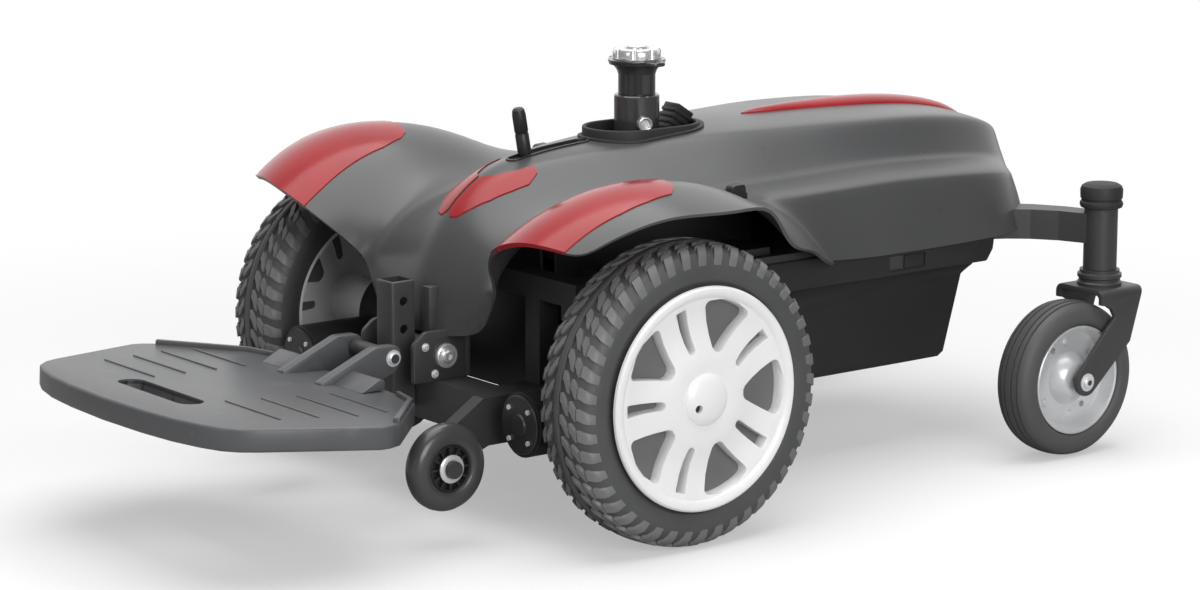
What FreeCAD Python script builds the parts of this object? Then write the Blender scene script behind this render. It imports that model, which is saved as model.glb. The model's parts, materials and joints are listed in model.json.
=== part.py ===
"""Power base of an electric wheelchair: frame, shrouds, wheels, seat post and footplate.

Millimetres, +Z up. The chair faces -Y and its left side is +X. All places below are measured
from the drive axle, on the floor; export() moves the model so that its origin is at the bottom
centre of its box.
"""
import FreeCAD, Part
import math
import os

V = FreeCAD.Vector
X_AXIS = V(1, 0, 0)
Y_AXIS = V(0, 1, 0)
Z_AXIS = V(0, 0, 1)
ORIGIN = V(0, 0, 0)
LEFT = 1
RIGHT = -1
SIDES = {"left": LEFT, "right": RIGHT}

# Clearances
RUN_GAP = 0.05
SEAT_GAP = 0.3
SIDE_PLAY = 1.0
WELD = 1.0

# Drive wheels
DRIVE_R = 159.0
DRIVE_X = 290.0
DRIVE_TYRE_W = 80.0
DRIVE_SIDEWALL = 42.0
DRIVE_RIM_R = DRIVE_R - DRIVE_SIDEWALL
DRIVE_BEAD = 9.0
DRIVE_BARREL_R = DRIVE_RIM_R - DRIVE_BEAD
DRIVE_BARREL_WALL = 5.0
DRIVE_FLANGE_T = 7.0
DRIVE_FACE_X = 336.0
DRIVE_HUB_R = 30.0
DRIVE_HUB_LENGTH = 72.0
DRIVE_AXLE_R = 8.5
SPOKE_PAIRS = 5
SPOKE_FIRST_DEG = 36.0
SPOKE_T = 13.0
SPOKE_DISH = 6.0
WINDOW_HALF_DEG = 17.0
WINDOW_APEX_R = 44.0
WINDOW_ROUND = 7.0
SLOT_ROOT_R = 50.0
SLOT_ROOT_W = 8.0
SLOT_TIP_W = 13.0

# Drive motors
MOTOR_R = 34.0
MOTOR_Z = 129.0
MOTOR_X = 207.0
MOTOR_FRONT_Y = -140.0
GEARBOX_R = 46.0
GEARBOX_X = (168.0, 244.0)

# Casters, behind the drive wheels
CASTER_R = 89.0
CASTER_X = 256.0
CASTER_STEM_Y = 636.0
CASTER_TRAIL = 52.0
CASTER_TYRE_W = 50.0
CASTER_RIM_R = 62.0
CASTER_RIM_T = 4.0
CASTER_HUB_R = 17.0
CASTER_AXLE_R = 6.0
FORK_GAP = 6.0
FORK_LEG_T = 6.0
FORK_LEG_W = 32.0
FORK_TOP_W = 66.0
FORK_CROWN_Z = 190.0
FORK_CROWN_T = 7.0
FORK_CROWN_Y = (-40.0, 34.0)
STEM_R = 10.0
STEM_COLLAR_R = 24.0
STEM_COLLAR_H = 17.7
BARREL_R = 19.0
BARREL_H = 70.0
BARREL_CAP_R = 24.5
BARREL_CAP_H = 28.0

# Anti-tip wheels, ahead of the drive wheels
TIP_R = 46.0
TIP_X = 163.0
TIP_Y = -205.0
TIP_Z = 86.0
TIP_W = 26.0
TIP_CORE_R = 30.0
TIP_AXLE_R = 5.0
TIP_ARM_X = (128.0, 146.0)
TIP_ARM_H = 42.0

# Steel frame
BOX_HALF_W = 150.0
RAIL_GAP = 18.0
RAIL_W = 25.0
RAIL_X = (BOX_HALF_W + RAIL_GAP, BOX_HALF_W + RAIL_GAP + RAIL_W)
RAIL_Z = (222.0, 262.0)
RAIL_Y = (-60.0, 520.0)
REAR_BAR_Y = (490.0, 520.0)
REAR_BAR_Z = (238.0, 272.0)
REAR_BAR_SHORT = 5.0
FRONT_TUBE_Y = (-137.7, -96.0)
FRONT_TUBE_Z = (101.0, 146.0)
LOWER_BAR_X = (140.0, 160.0)
LOWER_BAR_Y_END = 118.0
UPRIGHT_X = (105.0, 130.0)
UPRIGHT_Y = (-60.0, -35.0)
MOTOR_PLATE_Y = (-50.0, 62.0)
MOTOR_PLATE_T = 8.0
BRIDGE_Y = (130.0, 210.0)
BRIDGE_T = 8.0
BRIDGE_SHORT = 11.0
PAD_H = 8.0

# Footrest
BRACKET_X = (44.0, 50.0)
BRACKET_Y = (-165.0, -98.0)
BRACKET_H = 54.0
BRACKET_BOLT_Y = -124.0
BRACKET_BOLT_Z = 172.0
BRACKET_BOLT_R = 8.0
FOOT_TUBE_W = 30.0
FOOT_TUBE_WALL = 2.5
FOOT_TUBE_Y = -153.0
FOOT_TUBE_Z = (112.0, 250.0)
FOOT_TUBE_HOLES_Z = (228.0, 198.0)
FOOT_HOLE_R = 5.0
HINGE_Y = -186.0
HINGE_Z = 176.0
HINGE_PIN_R = 5.0
HINGE_BARREL_R = 9.0
HINGE_BARREL_X = 28.0
FOOT_EAR_W = 14.0
PLATE_TOP_Z = 166.0
PLATE_TILT_DEG = 3.3
PLATE_PIVOT_Y = -400.0
PLATE_FRONT_Y = -510.0
PLATE_HALF_W = 243.0
PLATE_WIDE_Y = -335.0
PLATE_H = 24.0
PLATE_WALL = 4.0
PLATE_TOP_T = 5.0
PLATE_RIB_T = 4.0
PLATE_SLOT = (142.0, 30.0, -442.0)

# Seat post
POST_Y = 170.0
SLEEVE_R = 25.0
SLEEVE_TOP_Z = 419.0
POST_R = 20.5
POST_BOTTOM_Z = 300.0
POST_SHOW = 33.0
FLANGE_Z = SLEEVE_TOP_Z + POST_SHOW
FLANGE_T = 6.0
FLANGE_EAR_W = 84.0
HEAD_R = 26.5
HEAD_H = 12.0
HEAD_SINK = 2.0
HEAD_NECK = 1.5
HEAD_NOTCHES = 8
NOTCH_R = 2.0
SEAT_TRAVEL = 50.0

# Shrouds
SKIN = 3.5
ARM_WAY_Y = 571.0
LENS_RISE = 1.5
LENS_T = 3.0
COLLAR_HALF_W = 45.0
COLLAR_Y = (105.0, 247.0)
COLLAR_RIM = 6.0
SLOT_Y = (-4.0, 100.0)
SLOT_W = 16.0
LEVER_BASE = (0.0, 17.0, 367.0)
LEVER_TOP = (0.0, 8.0, 418.0)
LEVER_R = 7.5
STALK_R = 4.0
FENDER_Y = -6.0
FENDER_DROP = 44.0
FENDER_Z = DRIVE_R - FENDER_DROP
FENDER_CROWN = 101.0
FENDER_FRONT_DEG = 40.0
FENDER_REAR_DEG = 42.0
FENDER_TAIL_Y = 106.0
TAIL_T = 4.5
TAIL_SINK = (12.0, 6.0)
FENDER_LENS_X = (207.0, 285.0)
FENDER_LENS_END_DEG = -6.0
SPINE_LENS_Y = (320.0, 646.0)
SPINE_LENS_W = 50.0
LATCH_AT = (174.0, 168.0, 329.0)
LATCH_SIZE = (24.0, 15.0, 14.0)

# Batteries
BOX_Y = (120.0, 492.0)
BOX_RAKE = 52.0
BOX_TOP_Y = BOX_Y[1] + BOX_RAKE
BOX_Z = (106.0, 236.0)
BOX_WAIST_Z = 219.0
BOX_WALL = 4.0
BOX_WAIST_STEP = 6.0
PACK_GAP = 2.0


def box(x_range, y_range, z_range):
    """Block between two corners."""
    x0, x1 = sorted(x_range)
    y0, y1 = sorted(y_range)
    z0, z1 = sorted(z_range)
    return Part.makeBox(x1 - x0, y1 - y0, z1 - z0, V(x0, y0, z0))


def rod(radius, start, end):
    """Cylinder from one point to another."""
    line = V(*end) - V(*start)
    return Part.makeCylinder(radius, line.Length, V(*start), line)


def fuse(shapes):
    """One clean solid from overlapping pieces."""
    whole = shapes[0]
    for shape in shapes[1:]:
        whole = whole.fuse(shape)
    return whole.removeSplitter()


def mirrored(shape, side):
    """The piece for the left side as it is, or its mirror image for the right."""
    if side == LEFT:
        return shape
    return shape.mirror(ORIGIN, X_AXIS)


def polygon(points):
    """Closed face from corner points."""
    corners = [V(*point) for point in points]
    return Part.Face(Part.makePolygon(corners + corners[:1]))


def side_profile(yz_points, x_range):
    """Outline in the YZ plane, extruded along X."""
    x0, x1 = sorted(x_range)
    return polygon([(x0, y, z) for y, z in yz_points]).extrude(V(x1 - x0, 0, 0))


def turned(xr_points, y, z, degrees=360.0, start_degrees=0.0):
    """Profile of (x, radius) points turned about the X line through (y, z)."""
    face = polygon([(x, y, z + r) for x, r in xr_points])
    face.rotate(V(0, y, z), X_AXIS, start_degrees)
    return face.revolve(V(0, y, z), X_AXIS, degrees)


def slab(xy_points, z_range):
    """Plan outline of corner points, extruded upward."""
    z0, z1 = z_range
    return polygon([(x, y, z0) for x, y in xy_points]).extrude(V(0, 0, z1 - z0))


def loft(wires):
    """Solid through closed sections, straight from each one to the next."""
    return Part.makeLoft(wires, True, True)


def drive_tyre(x_sign):
    """Balloon tyre: sidewalls, shoulders and a slightly crowned tread."""
    half = DRIVE_TYRE_W / 2
    seat_r = DRIVE_BARREL_R + SEAT_GAP
    # x from the wheel's middle, radius
    profile = (
        (-half + 10, seat_r), (-half + 4, DRIVE_RIM_R + 2), (-half, DRIVE_RIM_R + 18),
        (-half + 3, DRIVE_R - 12), (-half + 12, DRIVE_R - 3), (0, DRIVE_R),
        (half - 12, DRIVE_R - 3), (half - 3, DRIVE_R - 12), (half, DRIVE_RIM_R + 18),
        (half - 4, DRIVE_RIM_R + 2), (half - 10, seat_r),
    )
    tyre = turned([(DRIVE_X + x, r) for x, r in profile], 0, DRIVE_R)
    return mirrored(tyre, x_sign)


def polar(r, degrees):
    """Point (y, z) at a radius and an angle round the drive axle."""
    angle = math.radians(degrees)
    return r * math.cos(angle), DRIVE_R + r * math.sin(angle)


def spoke_disc():
    """Dished disc between hub and barrel, before its windows are cut."""
    outer_r = DRIVE_BARREL_R - DRIVE_BARREL_WALL / 2
    face = DRIVE_FACE_X - 3
    return turned([
        (face - SPOKE_T, DRIVE_HUB_R - 8), (face, DRIVE_HUB_R - 8), (face - SPOKE_DISH, 62),
        (face - SPOKE_DISH / 2, outer_r), (face - SPOKE_T, outer_r), (face - SPOKE_T - SPOKE_DISH, 62),
    ], 0, DRIVE_R)


def window(middle_deg, x_range):
    """Rounded three-cornered window between two pairs of spokes."""
    outer_r = DRIVE_BARREL_R - DRIVE_BARREL_WALL - 2
    x0, x1 = x_range
    corners = [
        polar(WINDOW_APEX_R, middle_deg),
        polar(outer_r, middle_deg - WINDOW_HALF_DEG),
        polar(outer_r + 2, middle_deg),
        polar(outer_r, middle_deg + WINDOW_HALF_DEG),
    ]
    block = polygon([(x0, y, z) for y, z in corners]).extrude(V(x1 - x0, 0, 0))
    lengthwise = [edge for edge in block.Edges if abs(edge.Length - (x1 - x0)) < 0.01]
    return block.makeFillet(WINDOW_ROUND, [lengthwise[0], lengthwise[1], lengthwise[3]])


def spoke_slot(middle_deg, x_range):
    """Narrow slot that splits a spoke into a pair."""
    outer_r = DRIVE_BARREL_R - DRIVE_BARREL_WALL - 3
    x0, x1 = x_range
    y0 = SLOT_ROOT_R
    slot = polygon([
        (x0, y0, -SLOT_ROOT_W / 2), (x0, outer_r, -SLOT_TIP_W / 2), (x0, outer_r, SLOT_TIP_W / 2),
        (x0, y0, SLOT_ROOT_W / 2),
    ]).extrude(V(x1 - x0, 0, 0))
    slot = slot.fuse(rod(SLOT_ROOT_W / 2, (x0, y0, 0), (x1, y0, 0)))
    slot.rotate(ORIGIN, X_AXIS, middle_deg)
    slot.translate(V(0, 0, DRIVE_R))
    return slot


def drive_rim(x_sign):
    """Wheel with five pairs of spokes, its barrel, hub and axle."""
    half = DRIVE_TYRE_W / 2
    inner_r = DRIVE_BARREL_R - DRIVE_BARREL_WALL
    x_in = DRIVE_X - half + 4
    x_lip = DRIVE_FACE_X
    barrel = turned([
        (x_in + 8, DRIVE_BARREL_R), (x_in + 8, inner_r), (x_lip - 4, inner_r), (x_lip, inner_r + 4),
        (x_lip, DRIVE_RIM_R - 3), (x_lip - 3, DRIVE_RIM_R), (x_lip - DRIVE_FLANGE_T, DRIVE_RIM_R),
        (x_lip - DRIVE_FLANGE_T, DRIVE_BARREL_R),
    ], 0, DRIVE_R)
    hub = turned([
        (DRIVE_FACE_X - DRIVE_HUB_LENGTH, 0), (DRIVE_FACE_X - DRIVE_HUB_LENGTH, 20),
        (DRIVE_FACE_X - 20, DRIVE_HUB_R), (DRIVE_FACE_X - 2, DRIVE_HUB_R),
        (DRIVE_FACE_X + 3, DRIVE_HUB_R - 6), (DRIVE_FACE_X + 5, 12), (DRIVE_FACE_X + 5, 0),
    ], 0, DRIVE_R)
    disc = spoke_disc()
    through = (DRIVE_FACE_X - 40, DRIVE_FACE_X + 10)
    for pair in range(SPOKE_PAIRS):
        middle = SPOKE_FIRST_DEG + pair * 360.0 / SPOKE_PAIRS
        disc = disc.cut(spoke_slot(middle, through))
        disc = disc.cut(window(middle + 180.0 / SPOKE_PAIRS, through))
    axle_end = GEARBOX_X[0] + 20
    axle = rod(DRIVE_AXLE_R, (axle_end, 0, DRIVE_R), (DRIVE_FACE_X - 30, 0, DRIVE_R))
    return mirrored(fuse([barrel, hub, disc, axle]), x_sign)


def drive_motor(x_sign):
    """Gearbox on the drive axle with its motor lying forward."""
    x0, x1 = GEARBOX_X
    gearbox = rod(GEARBOX_R, (x0, 0, DRIVE_R), (x1 - 12, 0, DRIVE_R))
    nose = rod(GEARBOX_R - 18, (x1 - 14, 0, DRIVE_R), (x1, 0, DRIVE_R))
    motor = rod(MOTOR_R, (MOTOR_X, 0, MOTOR_Z), (MOTOR_X, MOTOR_FRONT_Y, MOTOR_Z))
    whole = fuse([gearbox, nose, motor])
    bore = rod(DRIVE_AXLE_R + RUN_GAP, (x0 + 18, 0, DRIVE_R), (x1 + 1, 0, DRIVE_R))
    return mirrored(whole.cut(bore), x_sign)


def caster_wheel_y():
    """Where the caster's axle is, ahead of its stem."""
    return CASTER_STEM_Y - CASTER_TRAIL


def caster_tyre(x_sign):
    """Solid tyre of a caster."""
    half = CASTER_TYRE_W / 2
    seat_r = CASTER_RIM_R + SEAT_GAP
    profile = (
        (-half + 6, seat_r), (-half + 1, CASTER_RIM_R + 6), (-half, CASTER_R - 16),
        (-half + 5, CASTER_R - 5), (-half + 14, CASTER_R), (half - 14, CASTER_R),
        (half - 5, CASTER_R - 5), (half, CASTER_R - 16), (half - 1, CASTER_RIM_R + 6),
        (half - 6, seat_r),
    )
    points = [(CASTER_X + x, r) for x, r in profile]
    return mirrored(turned(points, caster_wheel_y(), CASTER_R), x_sign)


def caster_rim(x_sign):
    """Pressed steel rim with a dished web and a hub tube."""
    half = CASTER_TYRE_W / 2 - 6
    t = CASTER_RIM_T
    points = [
        (-half, CASTER_RIM_R), (-half, CASTER_RIM_R - t), (-t, CASTER_RIM_R - t - 6),
        (-t, CASTER_HUB_R + 8), (-half - 2, CASTER_HUB_R), (-half - 2, CASTER_AXLE_R + RUN_GAP),
        (half + 2, CASTER_AXLE_R + RUN_GAP), (half + 2, CASTER_HUB_R), (t, CASTER_HUB_R + 8),
        (t, CASTER_RIM_R - t - 6), (half, CASTER_RIM_R - t), (half, CASTER_RIM_R),
    ]
    points = [(CASTER_X + x, r) for x, r in points]
    return mirrored(turned(points, caster_wheel_y(), CASTER_R), x_sign)


def caster_fork(x_sign):
    """Fork: crown plate, two legs swept forward to the axle, collar and stem."""
    wheel_y = caster_wheel_y()
    inner = CASTER_TYRE_W / 2 + FORK_GAP
    outer = inner + FORK_LEG_T
    half_w = FORK_LEG_W / 2
    crown_y = tuple(CASTER_STEM_Y + y for y in FORK_CROWN_Y)
    crown_z = (FORK_CROWN_Z - FORK_CROWN_T, FORK_CROWN_Z)
    pieces = [box((CASTER_X - outer, CASTER_X + outer), crown_y, crown_z)]
    knee_z = CASTER_R + 38
    leg = [
        (crown_y[1] - FORK_TOP_W, FORK_CROWN_Z), (crown_y[1], FORK_CROWN_Z),
        (crown_y[1] - 19, knee_z), (wheel_y + half_w * 0.72, CASTER_R - half_w * 0.69),
        (wheel_y - half_w * 0.95, CASTER_R + half_w * 0.3),
    ]
    for x_range in ((-outer, -inner), (inner, outer)):
        x0, x1 = (CASTER_X + x for x in x_range)
        pieces.append(side_profile(leg, (x0, x1)))
        pieces.append(rod(half_w, (x0, wheel_y, CASTER_R), (x1, wheel_y, CASTER_R)))
    pieces.append(rod(CASTER_AXLE_R, (CASTER_X - outer - 4, wheel_y, CASTER_R),
                      (CASTER_X + outer + 4, wheel_y, CASTER_R)))
    collar_top = FORK_CROWN_Z + STEM_COLLAR_H
    pieces.append(rod(STEM_COLLAR_R, (CASTER_X, CASTER_STEM_Y, FORK_CROWN_Z - 1),
                      (CASTER_X, CASTER_STEM_Y, collar_top)))
    stem_top = collar_top + SEAT_GAP + BARREL_H - 8
    pieces.append(rod(STEM_R, (CASTER_X, CASTER_STEM_Y, FORK_CROWN_Z),
                      (CASTER_X, CASTER_STEM_Y, stem_top)))
    return mirrored(fuse(pieces), x_sign)


def barrel_bottom_z():
    """Underside of the caster barrel, just above the fork's collar."""
    return FORK_CROWN_Z + STEM_COLLAR_H + SEAT_GAP


def rear_arm(x_sign):
    """Curved tapered arm from the rear bar out to the caster barrel."""
    z0, z1 = REAR_BAR_Z
    # x, y of the middle, half width, direction in plan from +Y towards +X
    stations = (
        (138.0, REAR_BAR_Y[1] + SEAT_GAP, 24.0, 0.0),
        (145.0, 552.0, 22.0, 16.0),
        (160.0, 577.0, 20.0, 34.0),
        (182.0, 600.0, 18.0, 50.0),
        (212.0, 619.0, 16.0, 60.0),
        (CASTER_X - 8, CASTER_STEM_Y - 4, 15.0, 68.0),
    )
    wires = []
    for x, y, half, turn in stations:
        across = V(math.cos(math.radians(turn)), -math.sin(math.radians(turn)), 0) * half
        middle = V(x, y, 0)
        corners = [middle - across, middle + across]
        points = [V(corners[0].x, corners[0].y, z0), V(corners[1].x, corners[1].y, z0),
                  V(corners[1].x, corners[1].y, z1), V(corners[0].x, corners[0].y, z1)]
        wires.append(Part.makePolygon(points + points[:1]))
    arm = loft(wires)
    z_low = barrel_bottom_z()
    barrel = rod(BARREL_R, (CASTER_X, CASTER_STEM_Y, z_low),
                 (CASTER_X, CASTER_STEM_Y, z_low + BARREL_H))
    bore = rod(STEM_R + RUN_GAP, (CASTER_X, CASTER_STEM_Y, z_low - 1),
               (CASTER_X, CASTER_STEM_Y, z_low + BARREL_H - 7))
    return mirrored(fuse([arm, barrel]).cut(bore), x_sign)


def barrel_cap(x_sign):
    """Rubber cap on top of a caster barrel."""
    z_low = barrel_bottom_z() + BARREL_H
    cap = rod(BARREL_CAP_R, (CASTER_X, CASTER_STEM_Y, z_low),
              (CASTER_X, CASTER_STEM_Y, z_low + BARREL_CAP_H))
    edges = [edge for edge in cap.Edges if abs(edge.CenterOfMass.z - z_low - BARREL_CAP_H) < 0.1]
    return mirrored(cap.makeChamfer(4.0, edges), x_sign)


def anti_tip_arm(x_sign):
    """Flat arm from the front tube down to the anti-tip axle."""
    half = TIP_ARM_H / 2
    z0, z1 = FRONT_TUBE_Z
    y_back = FRONT_TUBE_Y[1] - WELD
    outline = [
        (y_back, z1), (FRONT_TUBE_Y[0] - 6, z1), (TIP_Y - 4, TIP_Z + half * 0.86),
        (TIP_Y - 14, TIP_Z), (TIP_Y, TIP_Z - half * 0.8), (FRONT_TUBE_Y[0], z0 - 6),
        (y_back, z0 - 6),
    ]
    arm = side_profile(outline, TIP_ARM_X)
    axle = rod(TIP_AXLE_R, (TIP_ARM_X[0], TIP_Y, TIP_Z), (TIP_X + TIP_W / 2 + 6, TIP_Y, TIP_Z))
    nut = rod(9.0, (TIP_X + TIP_W / 2 + SIDE_PLAY, TIP_Y, TIP_Z),
              (TIP_X + TIP_W / 2 + 6, TIP_Y, TIP_Z))
    spacer = rod(10.0, (TIP_ARM_X[1] - 1, TIP_Y, TIP_Z), (TIP_X - TIP_W / 2 - SIDE_PLAY, TIP_Y, TIP_Z))
    return mirrored(fuse([arm, axle, nut, spacer]), x_sign)


def anti_tip_tyre(x_sign):
    """Rounded tyre of an anti-tip wheel."""
    half = TIP_W / 2
    seat_r = TIP_CORE_R + SEAT_GAP
    profile = ((-half + 2, seat_r), (-half, seat_r + 5), (-half + 2, TIP_R - 7), (-half + 8, TIP_R),
               (half - 8, TIP_R), (half - 2, TIP_R - 7), (half, seat_r + 5), (half - 2, seat_r))
    return mirrored(turned([(TIP_X + x, r) for x, r in profile], TIP_Y, TIP_Z), x_sign)


def anti_tip_core(x_sign):
    """Moulded core with a hub, a web and a rim."""
    half = TIP_W / 2 - 1
    bore = TIP_AXLE_R + RUN_GAP
    profile = ((-half, bore), (-half, 13), (-4, 14), (-4, TIP_CORE_R - 5), (-half, TIP_CORE_R - 4),
               (-half, TIP_CORE_R), (half, TIP_CORE_R), (half, TIP_CORE_R - 4), (4, TIP_CORE_R - 5),
               (4, 14), (half, 13), (half, bore))
    return mirrored(turned([(TIP_X + x, r) for x, r in profile], TIP_Y, TIP_Z), x_sign)


def main_frame():
    """Welded frame: rails, uprights, cross tubes, motor plates and the seat bridge."""
    pieces = []
    front_x = TIP_ARM_X[0] - SEAT_GAP
    pieces.append(box((-front_x, front_x), FRONT_TUBE_Y, FRONT_TUBE_Z))
    low_z = (FRONT_TUBE_Z[0] + 5, FRONT_TUBE_Z[1])
    for side in (LEFT, RIGHT):
        def across(x_range):
            return tuple(side * x for x in x_range)
        plate_x = (RAIL_X[0] - MOTOR_PLATE_T, RAIL_X[0])
        pieces.append(box(across(RAIL_X), RAIL_Y, RAIL_Z))
        pieces.append(box(across(plate_x), MOTOR_PLATE_Y, (low_z[0], RAIL_Z[1])))
        pieces.append(box(across((UPRIGHT_X[0], plate_x[1])), (FRONT_TUBE_Y[1] - WELD, UPRIGHT_Y[1]), low_z))
        pieces.append(box(across(LOWER_BAR_X), (UPRIGHT_Y[1] - WELD, LOWER_BAR_Y_END), low_z))
        pieces.append(box(across(UPRIGHT_X), UPRIGHT_Y, (low_z[0], RAIL_Z[1])))
    pieces.append(box((-RAIL_X[1], RAIL_X[1]), UPRIGHT_Y, (RAIL_Z[1] - 25, RAIL_Z[1])))
    pieces.append(box((-LOWER_BAR_X[1], LOWER_BAR_X[1]), (LOWER_BAR_Y_END - 20, LOWER_BAR_Y_END), low_z))
    rear_x = RAIL_X[1] - REAR_BAR_SHORT
    pieces.append(box((-rear_x, rear_x), REAR_BAR_Y, REAR_BAR_Z))
    bridge_x = RAIL_X[1] - BRIDGE_SHORT
    pieces.append(box((-bridge_x, bridge_x), BRIDGE_Y, (RAIL_Z[1], RAIL_Z[1] + BRIDGE_T)))
    pad_z = RAIL_Z[1] + BRIDGE_T
    pieces.append(rod(SLEEVE_R + 12, (0, POST_Y, pad_z - 1), (0, POST_Y, pad_z + PAD_H)))
    return fuse(pieces)


def footrest_bracket():
    """Channel on the front tube with the footrest bolt across it."""
    z0 = FRONT_TUBE_Z[1]
    z1 = z0 + BRACKET_H
    pieces = []
    for side in (LEFT, RIGHT):
        cheek = box([side * x for x in BRACKET_X], BRACKET_Y, (z0, z1))
        pieces.append(cheek)
    pieces.append(box((-BRACKET_X[1], BRACKET_X[1]), (BRACKET_Y[1], BRACKET_Y[1] + 6), (z0, z1)))
    reach = BRACKET_X[1] + 8
    pieces.append(rod(BRACKET_BOLT_R, (-reach, BRACKET_BOLT_Y, BRACKET_BOLT_Z),
                      (reach, BRACKET_BOLT_Y, BRACKET_BOLT_Z)))
    return fuse(pieces)


def footrest_tube():
    """Square tube with its pivot sleeve, height holes and the footplate's hinge pin."""
    half = FOOT_TUBE_W / 2
    hole = half - FOOT_TUBE_WALL
    y_range = (FOOT_TUBE_Y - half, FOOT_TUBE_Y + half)
    tube = box((-half, half), y_range, FOOT_TUBE_Z)
    sleeve_x = BRACKET_X[0] - SEAT_GAP
    sleeve_r = BRACKET_BOLT_Y - y_range[1] + FOOT_TUBE_WALL / 2
    sleeve = rod(sleeve_r, (-sleeve_x, BRACKET_BOLT_Y, BRACKET_BOLT_Z),
                 (sleeve_x, BRACKET_BOLT_Y, BRACKET_BOLT_Z))
    web = box((-HINGE_BARREL_X, HINGE_BARREL_X), (HINGE_Y, y_range[0] + 1),
              (HINGE_Z - HINGE_BARREL_R, HINGE_Z))
    barrel = rod(HINGE_BARREL_R, (-HINGE_BARREL_X, HINGE_Y, HINGE_Z), (HINGE_BARREL_X, HINGE_Y, HINGE_Z))
    pin_x = HINGE_BARREL_X + FOOT_EAR_W + 5
    pin = rod(HINGE_PIN_R, (-pin_x, HINGE_Y, HINGE_Z), (pin_x, HINGE_Y, HINGE_Z))
    whole = fuse([tube, sleeve, web, barrel, pin])
    whole = whole.cut(box((-hole, hole), (FOOT_TUBE_Y - hole, FOOT_TUBE_Y + hole),
                          (FOOT_TUBE_Z[0] - 1, FOOT_TUBE_Z[1] + 1)))
    whole = whole.cut(rod(BRACKET_BOLT_R + RUN_GAP, (-sleeve_x - 1, BRACKET_BOLT_Y, BRACKET_BOLT_Z),
                          (sleeve_x + 1, BRACKET_BOLT_Y, BRACKET_BOLT_Z)))
    for z in FOOT_TUBE_HOLES_Z:
        whole = whole.cut(rod(FOOT_HOLE_R, (-half - 1, FOOT_TUBE_Y, z), (half + 1, FOOT_TUBE_Y, z)))
    return whole


def plate_wire(inset, z):
    """Rounded outline of the footplate, drawn in from its edge by inset."""
    # x, y of the left half, from the front middle to the rear middle
    nose = V(0, PLATE_FRONT_Y + inset, z)
    corner_in = V(158 - inset, PLATE_FRONT_Y + 9 + inset, z)
    corner_out = V(200 - inset, PLATE_FRONT_Y + 42 + inset * 0.5, z)
    wide = V(PLATE_HALF_W - inset, PLATE_WIDE_Y, z)
    wide_back = V(PLATE_HALF_W - 10 - inset, PLATE_WIDE_Y + 30 - inset * 0.5, z)
    rear = V(PLATE_HALF_W - 88 - inset, PLATE_WIDE_Y + 100 - inset, z)
    rear_mid = V(0, PLATE_WIDE_Y + 116 - inset, z)

    def other(point):
        return V(-point.x, point.y, point.z)

    bulge = V(187 - inset * 0.8, PLATE_FRONT_Y + 19 + inset * 0.8, z)
    edges = [
        Part.Arc(other(corner_in), nose, corner_in).toShape(),
        Part.Arc(corner_in, bulge, corner_out).toShape(),
        Part.LineSegment(corner_out, wide).toShape(),
        Part.LineSegment(wide, wide_back).toShape(),
        Part.LineSegment(wide_back, rear).toShape(),
        Part.Arc(rear, rear_mid, other(rear)).toShape(),
        Part.LineSegment(other(rear), other(wide_back)).toShape(),
        Part.LineSegment(other(wide_back), other(wide)).toShape(),
        Part.LineSegment(other(wide), other(corner_out)).toShape(),
        Part.Arc(other(corner_out), other(bulge), other(corner_in)).toShape(),
    ]
    return Part.Wire(edges)


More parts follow.
